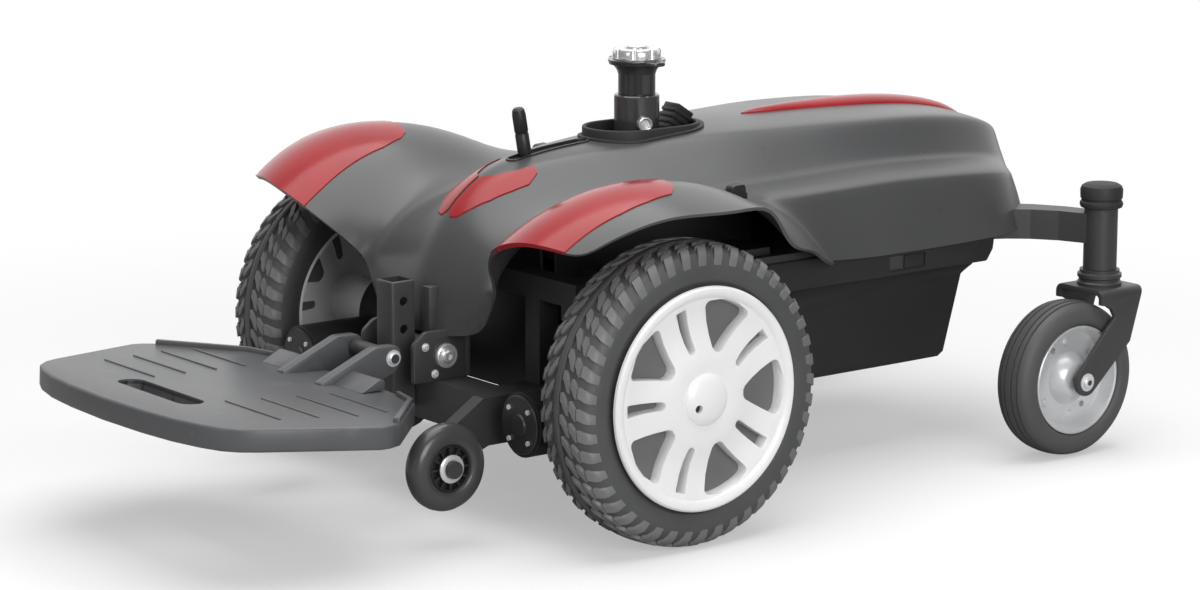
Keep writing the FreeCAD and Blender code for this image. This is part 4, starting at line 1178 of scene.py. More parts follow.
    def surface(self) -> bpy.types.Object:
        """The shroud's outer surface, both halves, rounded from a coarse cage.

        Returns:
            The surface, which the pieces are cut from.
        """
        nose, wing = self.front_grids()
        parts = [grid_mesh("nose", nose), grid_mesh("wing", wing), grid_mesh("rear", self.hood_grid()),
                 grid_mesh("tail", self.tail_grid(wing[-1]))]
        skin = join("shroud_skin", parts)
        edit(skin)
        bpy.ops.mesh.remove_doubles(threshold=0.5 * MM)
        bpy.ops.mesh.select_all(action="SELECT")
        bpy.ops.mesh.dissolve_degenerate(threshold=0.05 * MM)
        bpy.ops.mesh.select_all(action="SELECT")
        bpy.ops.mesh.normals_make_consistent(inside=False)
        select_edges(skin, lambda start, end: self.on_crease(start) and self.on_crease(end))
        bpy.ops.transform.edge_crease(value=self.crease)
        close_edit()
        half = skin.modifiers.new("mirror", "MIRROR")
        half.use_clip = True
        half.merge_threshold = 0.5 * MM
        subdivide(skin)
        apply_modifiers(skin)
        face_outwards(skin)
        if sum(face.normal.z for face in skin.data.polygons) < 0:
            skin.data.flip_normals()
        return skin

    def patch(self, name: str, skin: bpy.types.Object, side: Side, outline: Outline,
              depth: tuple[float, float]) -> bpy.types.Object:
        """A lens that follows the shroud inside a plan outline.

        Args:
            name: The lens's name.
            skin: The shroud's surface.
            side: Its side.
            outline: The plan outline on the left side.
            depth: How far it sinks in and how far it stands proud.

        Returns:
            The lens.
        """
        piece = copy_of(skin, name)
        thicken(piece, *depth)
        corners = [spot(side.value * x, y, 200) for x, y in outline]
        carve(piece, prism("column", corners, (0, 0, 250 * MM)), Cut.KEEP)
        smooth(piece, 40)
        return piece

    def build(self, skin: bpy.types.Object) -> None:
        """Make the shell and its lenses.

        Args:
            skin: The shroud's surface.
        """
        shell = copy_of(skin, "shroud")
        thicken(shell, self.wall, 0.0)
        for opening in (self.collar, self.slot):
            carve(shell, opening.block(300, 420))
        smooth(shell, 40)
        dress(shell, SHROUD, "chassis", "hood", "fender_left", "fender_right")
        for side in Side:
            for node, outline, depth in (("fender_lens_", self.fender_lens, self.fender_lens_depth),
                                         ("nose_lens_", self.nose_lens, self.nose_lens_depth)):
                node += side.word
                dress(self.patch(node + "_gloss", skin, side, outline, depth), RED_LENS, "chassis", node)


@dataclass(frozen=True)
class HoodFittings:
    """The rim round the post, the lever with its slot, the plug and the catches."""

    collar: Oval
    slot: Oval
    rim_wall: float = 4.4
    rim_z: tuple[float, float] = (366, 386)
    lip_out: float = 4.6
    border_out: float = 2.2
    keep_z: tuple[float, float] = (340, 400)
    lever_foot: Point = (0, 17, 367)
    lever_lean: tuple[float, float] = (9, 51)
    grip: Outline = ((0, 0), (0, 7.0), (4, 7.5), (22, 7.5), (23, 6.9), (24.6, 6.9), (25.6, 7.5), (44, 7.5),
                     (49.6, 6.6), (51.6, 4.6), (52, 0))
    plug_middle: Point = (0, 218, 380)
    plug_lean_deg: float = -33
    plug_fins: int = 5
    fin_pitch: float = 7
    latch_side: Sequence[Point] = ((157, 331, 0), (179, 331, 0), (177, 342, 4), (160, 341, 5))

    def build(self, skin: bpy.types.Object) -> None:
        """Make all the fittings.

        Args:
            skin: The shroud's surface.
        """
        self.post_collar(skin)
        self.slot_insert(skin)
        self.lever()
        self.plug()
        self.latches()

    def post_collar(self, skin: bpy.types.Object) -> None:
        """The rim in the post's opening, with a lip that lies on the shroud.

        Args:
            skin: The shroud's surface.
        """
        rim = self.collar.grown(-0.4).ring("rim", *self.rim_z, self.rim_wall)
        bevel(rim, 1.6 * MM, 3, 50)
        lip = copy_of(skin, "lip")
        thicken(lip, 1.0, 2.4)
        carve(lip, self.collar.grown(self.lip_out).ring("keep", *self.keep_z, self.lip_out + 0.6), Cut.KEEP)
        bevel(lip, 0.8 * MM, 2, 50)
        collar = join("post_collar_moulded", [rim, lip])
        smooth(collar, 40)
        dress(collar, BLACK_RUBBER, "chassis", "post_collar")

    def slot_insert(self, skin: bpy.types.Object) -> None:
        """The plate sunk in the lever's slot, with a border on the shroud.

        Args:
            skin: The shroud's surface.
        """
        insert = copy_of(skin, "slot_insert")
        thicken(insert, 6.0, -2.0)
        carve(insert, self.slot.grown(-0.3).block(*self.keep_z), Cut.KEEP)
        border = copy_of(skin, "border")
        thicken(border, 1.0, 1.6)
        carve(border, self.slot.grown(self.border_out).ring("keep", *self.keep_z, self.border_out + 0.4),
              Cut.KEEP)
        insert = join("slot_insert", [insert, border])
        smooth(insert, 40)
        dress(insert, BLACK_PLASTIC, "chassis", "slot_plate")

    def lever(self) -> None:
        """The release lever: a leaning grip on an upright stalk."""
        x, y, z = self.lever_foot
        grip = spun("grip", along(z, self.grip), (x, y, 0), Turn.Z, 40)
        swing(grip, math.atan2(*self.lever_lean), self.lever_foot, Turn.X)
        stalk = shaft("stalk", 4, (x, y, 262.3), (x, y, z + 5), 24)
        lever = join("release_lever_grip", [grip, stalk])
        smooth(lever, 35)
        dress(lever, BLACK_PLASTIC, "chassis", "release_lever")

    def plug(self) -> None:
        """The finned connector, centred on its node."""
        parts = [slab("body", (-11.6, 206.4, 360), (11.6, 229.6, 401))]
        for step in range(self.plug_fins):
            z = 364 + self.fin_pitch * step
            parts.append(slab("fin", (-13, 205, z), (13, 231, z + 4.4)))
        parts.append(slab("end", (-12.4, 205.6, 396), (12.4, 230.4, 402)))
        for part in parts:
            bevel(part, 0.9 * MM, 2)
        plug = join("harness_plug", parts)
        swing(plug, math.radians(self.plug_lean_deg), self.plug_middle, Turn.X)
        real = sum(corner.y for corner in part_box("harness_connector")) / 2
        spread = [vertex.co.y for vertex in plug.data.vertices]
        plug.data.transform(Matrix.Translation((0, real - (min(spread) + max(spread)) / 2, 0)))
        smooth(plug, 35)
        dress(plug, BLACK_PLASTIC, "chassis", "harness_connector")

    def latches(self) -> None:
        """The catches on the hood's sides."""
        base = slab("base", (167, 156.5, 322), (181, 179.5, 333))
        hump = plate("hump", rounded(self.latch_side), Turn.X, 168, 180)
        for part in (base, hump):
            bevel(part, 1.2 * MM, 2, 40)
        latch = join("side_latch_catch", [base, hump])
        smooth(latch, 35)
        dress_pair(latch, BLACK_PLASTIC, "chassis", "side_latch")


@dataclass(frozen=True)
class SpineLens:
    """The long raised lens on the rear deck, broadest towards the rear."""

    # y, half width, height of its crest, height of its edge
    rows: Sequence[Sequence[float]] = (
        (320, 1.5, 384.6, 383.0), (338, 7, 388.0, 384.0), (370, 13, 390.0, 384.2), (420, 19, 391.2, 383.8),
        (480, 23.5, 391.0, 382.8), (540, 25, 387.4, 379.4), (590, 23, 379.2, 371.6),
        (624, 17.5, 369.4, 362.0), (645.5, 9, 358.0, 351.4),
    )
    # Across a row: share of the half width, share of the height from edge to crest
    arch: Outline = ((-1.0, -0.9), (-1.0, 0.0), (-0.72, 0.62), (-0.3, 0.95), (0.3, 0.95), (0.72, 0.62),
                     (1.0, 0.0), (1.0, -0.9))
    wall: float = 2.0

    def build(self) -> None:
        """Make the lens from its cage."""
        rows = [[Vector((half * share, y, edge + (crest - edge) * height)) for share, height in self.arch]
                for y, half, crest, edge in self.rows]
        lens = grid_mesh("spine_lens_gloss", rows)
        subdivide(lens)
        wall_inside(lens, self.wall)
        face_outwards(lens)
        smooth(lens, 40)
        dress(lens, RED_LENS, "chassis", "spine_lens")


@dataclass(frozen=True)
class DriveWheels:
    """Balloon tyres with slanted tread blocks on cast rims with five pairs of spokes."""

    x: float = 290
    radius: float = 159
    pitches: int = 44
    # The tyre's body on one side of its middle: x, radius
    tyre_body: Outline = (
        (0, 155.4), (12, 155.1), (22, 154.2), (29, 152.0), (34, 148.6), (37.6, 143.5), (39.6, 137.0),
        (39.8, 130.0), (38.6, 123.4), (36.8, 120.2), (35.6, 119.8), (34.4, 117.8), (31.0, 108.6),
    )
    # The smooth rib round the tyre's middle
    rib: Outline = ((-4.8, 154), (-4.3, 158.4), (-3.4, 159), (3.4, 159), (4.3, 158.4), (4.8, 154), (-4.8, 154))
    # Height of the tread's blocks: x, radius
    tread_top: Outline = ((0, 159.0), (8, 158.8), (18, 158.1), (28, 156.2), (34, 152.2), (37.5, 147.2),
                          (39.6, 139.2), (40, 137))
    # Blocks of one pitch on one side of the rib: x, start and end as shares of the pitch
    tread_blocks: Sequence[Sequence[Point]] = (
        ((6.6, 0.00, 0.36), (8.6, 0.02, 0.44), (11, 0.14, 0.58), (14, 0.34, 0.80), (16.4, 0.50, 0.92),
         (18.4, 0.60, 0.96)),
        ((20.0, 0.30, 0.70), (22.2, 0.34, 0.82), (24.6, 0.50, 1.00), (27.6, 0.70, 1.14)),
        ((29.4, 0.60, 1.08), (32.0, 0.66, 1.14), (35.0, 0.74, 1.24), (37.6, 0.84, 1.30), (39.3, 0.92, 1.32)),
    )
    block_root: float = 1.2
    block_flare: float = 0.05
    spoke_pairs: int = 5
    spoke_first_deg: float = 36
    cut_x: tuple[float, float] = (300, 345)
    # The spokes' dished disc, face side first
    disc: Outline = (
        (333.0, 26), (333.4, 42), (331.4, 53), (328.4, 66), (327.6, 80), (329.4, 94), (332.0, 105.5),
        (316.0, 105.5), (312.5, 94), (310.5, 80), (311.0, 66), (314.0, 50), (316.0, 26), (333.0, 26),
    )
    barrel: Outline = (
        (262, 108), (262, 103), (318, 102.4), (326, 102.6), (331, 104.0), (334.6, 107.6), (336.0, 111.4),
        (335.6, 114.6), (333.6, 116.6), (330.6, 117.0), (329, 115.4), (329, 108), (262, 108),
    )
    hub: Outline = (
        (264, 0), (264, 19), (268, 20), (312, 30), (333.2, 30.6), (332.6, 28.6), (331.4, 27.6), (334.6, 27.0),
        (337.4, 24.0), (339.4, 18.0), (340.6, 9.0), (341.0, 0),
    )
    # The thin panel in the windows, level with the back of the spokes, dark grey as painted shade of the
    # barrel's inside
    panel: Outline = (
        (317.5, 27), (315.2, 50), (312.2, 66), (311.7, 80), (313.7, 94), (317.5, 105), (319.0, 105),
        (315.2, 94), (313.2, 80), (313.7, 66), (316.7, 50), (319.0, 27), (317.5, 27),
    )
    plug_at: tuple[float, float] = (-14, -7)
    valve_deg: float = 158

    @property
    def centre(self) -> Point:
        """A place on the axle."""
        return 0, 0, self.radius

    def place(self, radius: float, degrees: float) -> tuple[float, float]:
        """A point (y, z) at a radius and an angle round the axle."""
        return on_circle((0, self.radius), radius, degrees)

    def block_corners(self, block: Sequence[Point], sign: int, turn: float) -> list[Vector]:
        """The corners of one tread block.

        Args:
            block: Its cross sections.
            sign: 1 for the tyre's outer half, -1 for the inner one.
            turn: Its place round the tyre, in pitches.

        Returns:
            Four corners for each cross section.
        """
        corners = []
        for x, start, end in block:
            top = looked_up(self.tread_top, x)[0]
            foot = looked_up(self.tyre_body, x)[0] - self.block_root
            for radius, share in ((top, start), (top, end), (foot, end + self.block_flare),
                                  (foot, start - self.block_flare)):
                angle = (turn + share) * 360 / self.pitches
                corners.append(spot(self.x + sign * x, *self.place(radius, angle)))
        return corners

    @staticmethod
    def block_faces(first: int, sections: int) -> list[tuple[int, ...]]:
        """The faces of one tread block.

        Args:
            first: The number of its first corner.
            sections: How many cross sections it has.

        Returns:
            Its faces, as corner numbers.
        """
        faces = []
        for step in range(sections - 1):
            a = first + 4 * step
            for side in range(4):
                other = (side + 1) % 4
                faces.append((a + side, a + other, a + 4 + other, a + 4 + side))
        last = first + 4 * (sections - 1)
        faces.append((first + 3, first + 2, first + 1, first))
        faces.append((last, last + 1, last + 2, last + 3))
        return faces

    def tread(self) -> bpy.types.Object:
        """All the blocks of a tyre as one mesh.

        Returns:
            The blocks.
        """
        corners, faces = [], []
        for pitch in range(self.pitches):
            for sign, shift in ((1, 0.0), (-1, 0.5)):
                for block in self.tread_blocks:
                    faces += self.block_faces(len(corners), len(block))
                    corners += self.block_corners(block, sign, pitch + shift)
        mesh = bpy.data.meshes.new("drive_tyre_blocks")
        mesh.from_pydata(corners, [], faces)
        blocks = bpy.data.objects.new("drive_tyre_blocks", mesh)
        bpy.context.scene.collection.objects.link(blocks)
        face_outwards(blocks)
        return blocks

    def tyres(self) -> None:
        """A smooth middle rib, slanted blocks either side and plain walls."""
        body = spun("body", both_halves(self.x, self.tyre_body), self.centre, Turn.X, 132)
        rib = spun("rib", along(self.x, self.rib), self.centre, Turn.X, 132)
        tyre = join("drive_tyre_treaded", [body, rib])
        smooth(tyre, 38)
        dress_pair(tyre, DRIVE_TYRE, "drive_wheel", "drive_tyre")
        blocks = self.tread()
        smooth(blocks, 38)
        # The blocks take the lighter rubber, a painted highlight on the tread
        dress_pair(blocks, TREAD_PAINTED_HIGHLIGHT, "drive_wheel")

    def openings(self) -> bpy.types.Object:
        """Cutters for the windows between the pairs of spokes and the slots in them.

        Returns:
            The cutters, joined.
        """
        window = plate("window", rounded([
            (*self.place(40, 0), 9), (*self.place(101.5, -18), 6), (*self.place(107, 0), 0),
            (*self.place(101.5, 18), 6)], 5), Turn.X, *self.cut_x)
        slot = plate("slot", rounded([
            (51, self.radius - 4.4, 4.2), (99, self.radius - 6.6, 1.5), (99, self.radius + 6.6, 1.5),
            (51, self.radius + 4.4, 4.2)], 5), Turn.X, *self.cut_x)
        centre = spot(*self.centre)
        pitch = 360 / self.spoke_pairs
        cutters = []
        for pair in range(self.spoke_pairs):
            for shape, share in ((slot, 0), (window, 0.5)):
                degrees = self.spoke_first_deg + (pair + share) * pitch
                cutters.append(turned_copy(shape, "cutter", degrees, centre, Turn.X))
        for shape in (window, slot):
            bpy.data.objects.remove(shape)
        return join("openings", cutters)

    def rims(self) -> None:
        """A dished disc of spokes, a rolled lip, a domed hub with a hole, and the axle; then a black disc in
        the hole and a dark grey panel behind the spokes as painted shade.
        """
        disc = spun("disc", self.disc, self.centre, Turn.X, 120)
        carve(disc, self.openings())
        bevel(disc, 1.1 * MM, 2, 40)
        barrel = spun("barrel", self.barrel, self.centre, Turn.X, 120)
        hub = spun("hub", self.hub, self.centre, Turn.X, 72)
        y, z = self.plug_at[0], self.radius + self.plug_at[1]
        carve(hub, shaft("hole", 4.2, (331, y, z), (345, y, z), 24))
        axle = shaft("axle", 8.5, (188, 0, self.radius), (300, 0, self.radius), 32)
        rim = join("drive_rim_cast", [disc, barrel, hub, axle])
        smooth(rim, 35)
        dress_pair(rim, SILVER_RIM, "drive_wheel", "drive_rim")
        # A black disc at the bottom of the hub's hole, painted shade for the hole's darkness
        plug = shaft("hub_plug", 4.0, (331.5, y, z), (335.5, y, z), 24)
        dress_pair(plug, BLACK_PLASTIC, "drive_wheel")
        # A dark grey copy of the rim's silver behind the spokes, painted shade of the barrel's inside seen
        # through the windows
        panel = spun("rim_back", self.panel, self.centre, Turn.X, 96)
        smooth(panel, 35)
        dress_pair(panel, RIM_PAINTED_SHADE, "drive_wheel")

    def build(self) -> None:
        """Make the tyres, the rims and their valve stems."""
        self.tyres()
        self.rims()
        stem = shaft("valve_stem", 3.4, (300, *self.place(100, self.valve_deg)),
                     (306, *self.place(88, self.valve_deg)), 16)
        smooth(stem, 40)
        dress_pair(stem, BLACK_RUBBER, "drive_wheel")


@dataclass(frozen=True)
class Casters:
    """Grooved solid tyres on pressed rims, in bent forks with capped barrels."""

    x: float = 256
    y: float = 584
    radius: float = 89
    stem_y: float = 636
    crown_z: float = 190
    # Half the tyre's profile and the rim's outer face, from the wheel's middle outwards: x, radius
    tyre_half: Outline = (
        (0, 88.2), (4.0, 88.2), (4.3, 86.2), (6.1, 86.2), (6.4, 88.0), (11.6, 87.4), (11.9, 85.4),
        (13.7, 85.2), (14.0, 86.9), (18, 85.6), (21.4, 82.6), (23.6, 78.0), (24.8, 72.0), (24.4, 67.0),
        (22.6, 64.4), (19.0, 62.3),
    )
    rim_face: Outline = (
        (19, 62), (21.6, 62.0), (22.4, 60.6), (21.4, 58.4), (15.0, 56.2), (7.0, 53.0), (5.6, 50.0),
        (5.4, 34.0), (6.4, 30.4), (13.0, 26.0), (19.0, 20.0), (21.0, 17.0), (21.0, 6.05),
    )
    hole_circle_r: float = 41
    hole_degrees: Sequence[float] = (-55, 125)
    nut_circle_r: float = 42
    nut_degrees: Sequence[float] = (155, 215, 275, 335, 35, 95)
    fork_inner: float = 31
    fork_outer: float = 37
    bend_r: float = 9
    axle_end_r: float = 16
    # The leg's front edge below the crown: distance ahead of the stem, z
    leg_front: Outline = ((-10, 158), (-15, 167), (-23, 172), (-32, 174), (-32, 190))
    collar: Outline = ((189, 10), (189, 25), (193, 25.4), (195, 23.4), (197.6, 23.4), (199, 25), (203, 25),
                       (204.4, 22.6), (207.7, 22.6), (207.7, 10), (270, 10), (270, 0), (189, 0))
    cap: Outline = ((278, 0), (278, 21), (279, 23.4), (281.6, 24.5), (284.6, 24.2), (286, 22.8), (288, 22.6),
                    (289.4, 23.8), (299, 24.2), (303, 22.6), (305.4, 18.6), (306, 13), (306, 0))

    @property
    def centre(self) -> Point:
        """A place on the wheels' axles."""
        return 0, self.y, self.radius

    def tyres(self) -> None:
        """Solid tyres with two grooves on each side of the tread's middle."""
        tyre = spun("caster_tyre_grooved", both_halves(self.x, self.tyre_half), self.centre, Turn.X, 96)
        smooth(tyre, 40)
        dress_pair(tyre, CASTER_TYRE, "caster_wheel", "caster_tyre")

    def rims(self) -> None:
        """Pressed rims with a coned hub, two holes and six nuts a side."""
        face = along(self.x, self.rim_face)
        back = [(self.x - x, radius) for x, radius in reversed(self.rim_face)]
        rim = spun("caster_rim_pressed", face + back + face[:1], self.centre, Turn.X, 96)
        for degrees in self.hole_degrees:
            y, z = on_circle((self.y, self.radius), self.hole_circle_r, degrees)
            carve(rim, shaft("hole", 3.6, (self.x - 30, y, z), (self.x + 30, y, z), 24))
        smooth(rim, 35)
        dress_pair(rim, ZINC_RIM, "caster_wheel", "caster_rim")
        nuts = []
        for degrees in self.nut_degrees:
            y, z = on_circle((self.y, self.radius), self.nut_circle_r, degrees)
            for sign in (1, -1):
                nuts.append(shaft("nut", 4.4, (self.x + sign * 5, y, z), (self.x + sign * 8.2, y, z), 6))
        nuts = join("caster_rim_nuts", nuts)
        bevel(nuts, 0.5 * MM, 1)
        smooth(nuts, 30)
        dress_pair(nuts, ZINC_RIM, "caster_wheel")

    def leg(self) -> list[tuple[float, float]]:
        """The side outline of a fork's leg, swept forward to a round end at the axle.

        Returns:
            Its corners as (y, z).
        """
        points = [(self.stem_y + 34, self.crown_z), (self.stem_y + 15, 128)]
        for degrees in range(-44, -228, -15):
            points.append(on_circle((self.y, self.radius), self.axle_end_r, degrees))
        return points + along(self.stem_y, self.leg_front)

    def forks(self) -> None:
        """Forks bent from plate, with the stem's collar and rings and the wheel's axle."""
        inner, outer, low, top = self.fork_inner, self.fork_outer, 60, self.crown_z
        inner_r = self.bend_r - 5
        arch = [(self.x - outer, low, 0), (self.x - outer, top, self.bend_r),
                (self.x + outer, top, self.bend_r), (self.x + outer, low, 0), (self.x + inner, low, 0),
                (self.x + inner, top - 6, inner_r), (self.x - inner, top - 6, inner_r),
                (self.x - inner, low, 0)]
        fork = plate("caster_fork_bent", rounded(arch, 5), Turn.Y, self.y - 40, self.stem_y + 40)
        carve(fork, plate("profile", self.leg(), Turn.X, self.x - 60, self.x + 60), Cut.KEEP)
        bevel(fork, 1.0 * MM, 2, 40)
        collar = spun("collar", self.collar, (self.x, self.stem_y, 0), Turn.Z, 48)
        axle = shaft("axle", 6, (self.x - 41, self.y, self.radius), (self.x + 41, self.y, self.radius), 24)
        fork = join("caster_fork_bent", [fork, collar, axle])
        smooth(fork, 35)
        dress_pair(fork, FRAME_STEEL, "caster_swivel", "caster_fork")
        for sign, word in ((1, "outer"), (-1, "inner")):
            place = (self.x + sign * outer, self.y, self.radius)
            bolt = bolt_head("caster_axle_bolt_" + word, place, Turn.X, 7, sign * 4.5)
            dress_pair(bolt, ZINC_RIM, "caster_swivel")

    def build(self) -> None:
        """Make the wheels, the forks and the barrels' caps."""
        self.tyres()
        self.rims()
        self.forks()
        cap = spun("barrel_cap_moulded", self.cap, (self.x, self.stem_y, 0), Turn.Z, 48)
        smooth(cap, 35)
        dress_pair(cap, BLACK_RUBBER, "chassis", "barrel_cap")


@dataclass(frozen=True)
class AntiTipWheels:
    """Glossy round tyres on ribbed black cores, each with a bright bushing and bolt."""

    x: float = 163
    y: float = -205
    z: float = 86
    ribs: int = 12
    tyre_half: Outline = ((0, 46.0), (4, 45.6), (8, 43.6), (10.8, 40.2), (12.4, 35.6), (12.8, 31.0),
                          (12.2, 27.4), (11.0, 25.4), (9.0, 24.6))
    core: Outline = ((-9, 24.6), (9, 24.6), (10.2, 23.6), (10.2, 22.6), (4, 22.0), (4, 14.6), (11.4, 14.0),
                     (11.4, 5.1), (-11.4, 5.1), (-11.4, 14.0), (-4, 14.6), (-4, 22.0), (-10.2, 22.6),
                     (-10.2, 23.6), (-9, 24.6))
    rib_half: tuple[float, float] = (9.4, 1.1)
    rib_reach: tuple[float, float] = (13, 23.4)
    bushing: Outline = ((11.0, 5.2), (11.0, 14.6), (12.6, 14.8), (13.6, 13.4), (13.8, 10.0), (13.0, 9.2),
                        (13.0, 5.2), (11.0, 5.2))
    bolt_x: float = 16.1

    def build(self) -> None:
        """Make both wheels."""
        centre = (0, self.y, self.z)
        tyre = spun("anti_tip_tyre_round", both_halves(self.x, self.tyre_half), centre, Turn.X, 72)
        smooth(tyre, 40)
        dress_pair(tyre, ANTI_TIP_TYRE, "anti_tip_wheel", "anti_tip_tyre")
        parts = [spun("ring", along(self.x, self.core), centre, Turn.X, 72)]
        half_x, half_y = self.rib_half
        low, high = self.rib_reach
        rib = slab("rib", (self.x - half_x, self.y - half_y, self.z + low),
                   (self.x + half_x, self.y + half_y, self.z + high))
        for step in range(self.ribs):
            parts.append(turned_copy(rib, "rib", step * 360 / self.ribs, spot(*centre), Turn.X))
        bpy.data.objects.remove(rib)
        core = join("anti_tip_core_ribbed", parts)
        smooth(core, 35)
        dress_pair(core, CORE_PLASTIC, "anti_tip_wheel", "anti_tip_core")
        bushing = spun("anti_tip_bushing", along(self.x, self.bushing), centre, Turn.X, 48)
        smooth(bushing, 40)
        dress_pair(bushing, ZINC_RIM, "anti_tip_wheel")
        bolt = bolt_head("anti_tip_bolt", (self.x + self.bolt_x, self.y, self.z), Turn.X, 5.2, 2.6)
        dress_pair(bolt, ZINC_RIM, "chassis")


@dataclass(frozen=True)
class SeatPost:
    """The sleeve with its set screw, the post with its flange, and the notched head."""

    y: float = 170
    sleeve: Outline = ((278, 20.6), (278, 25), (417.6, 25), (419, 23.8), (419, 21.4), (418, 20.6),
                       (278, 20.6))
    screw: Outline = ((20.8, 0), (20.8, 5), (24, 8), (31.6, 8), (32, 6.9), (31.4, 5.4), (29.4, 4.9),
                      (29.0, 0))
    screw_z: float = 389
    screw_deg: float = -20
    tube: Outline = ((300, 0), (300, 20.5), (441, 20.5), (446, 22.2), (452, 26.5), (452.6, 30.5), (457, 32),
                     (458, 31.4), (458, 26.8), (456, 26.8), (456, 0))
    # An ear of the flange: x, distance along Y, corner radius; then its bottom and top
    ear: Sequence[Point] = ((24, -13, 0), (24, 13, 0), (42, 9, 8.5), (42, -9, 8.5))
    ear_z: tuple[float, float] = (453.0, 457.6)
    ear_hole_x: float = 34
    head: Outline = ((456.1, 10), (456.1, 25), (458.1, 25), (458.3, 26.2), (466.5, 26.5), (469.2, 25.2),
                     (470, 22.6), (470, 15.0), (467.4, 13.4), (462, 13.0), (462, 10.0), (456.1, 10))
    notches: int = 8
    notch_circle_r: float = 28.2

    def build(self) -> None:
        """Make the sleeve with its screw, the post and the head."""
        centre = (0, self.y, 0)
        sleeve = spun("seat_sleeve_turned", self.sleeve, centre, Turn.Z, 72)
        smooth(sleeve, 35)
        dress(sleeve, POST_STEEL, "chassis", "seat_sleeve")
        screw_place = (0, self.y, self.screw_z)
        screw = spun("set_screw", self.screw, screw_place, Turn.X, 40)
        swing(screw, math.radians(self.screw_deg), screw_place, Turn.Z)
        smooth(screw, 30)
        dress(screw, BRIGHT_STEEL, "chassis")
        tube = spun("tube", self.tube, centre, Turn.Z, 72)
        post = join("seat_post_flanged", [tube] + [self.flange_ear(sign) for sign in (1, -1)])
        smooth(post, 35)
        dress(post, POST_STEEL, "seat_post", "seat_post")
        self.notched_head(centre)

    def flange_ear(self, sign: int) -> bpy.types.Object:
        """One ear of the flange, with its hole.

        Args:
            sign: 1 for the left ear, -1 for the right one.

        Returns:
            The ear.
        """
        corners = [(sign * x, self.y + y, radius) for x, y, radius in self.ear]
        ear = plate("ear", rounded(corners, 6), Turn.Z, *self.ear_z)
        x = sign * self.ear_hole_x
        carve(ear, shaft("hole", 2.6, (x, self.y, 440), (x, self.y, 470), 20))
        bevel(ear, 1.4 * MM, 3)
        return ear

    def notched_head(self, centre: Point) -> None:
        """The bright head with notches round its rim.

        Args:
            centre: A place on the post's line.
        """
        head = spun("seat_head_notched", self.head, centre, Turn.Z, 96)
        notches = []
        for step in range(self.notches):
            x, y = on_circle((0, self.y), self.notch_circle_r, step * 360 / self.notches)
            notches.append(shaft("notch", 4.6, (x, y, 459.4), (x, y, 475), 20))
        carve(head, join("notches", notches))
        bevel(head, 0.7 * MM, 2, 40)
        smooth(head, 35)
        dress(head, BRIGHT_STEEL, "seat_post", "seat_head")


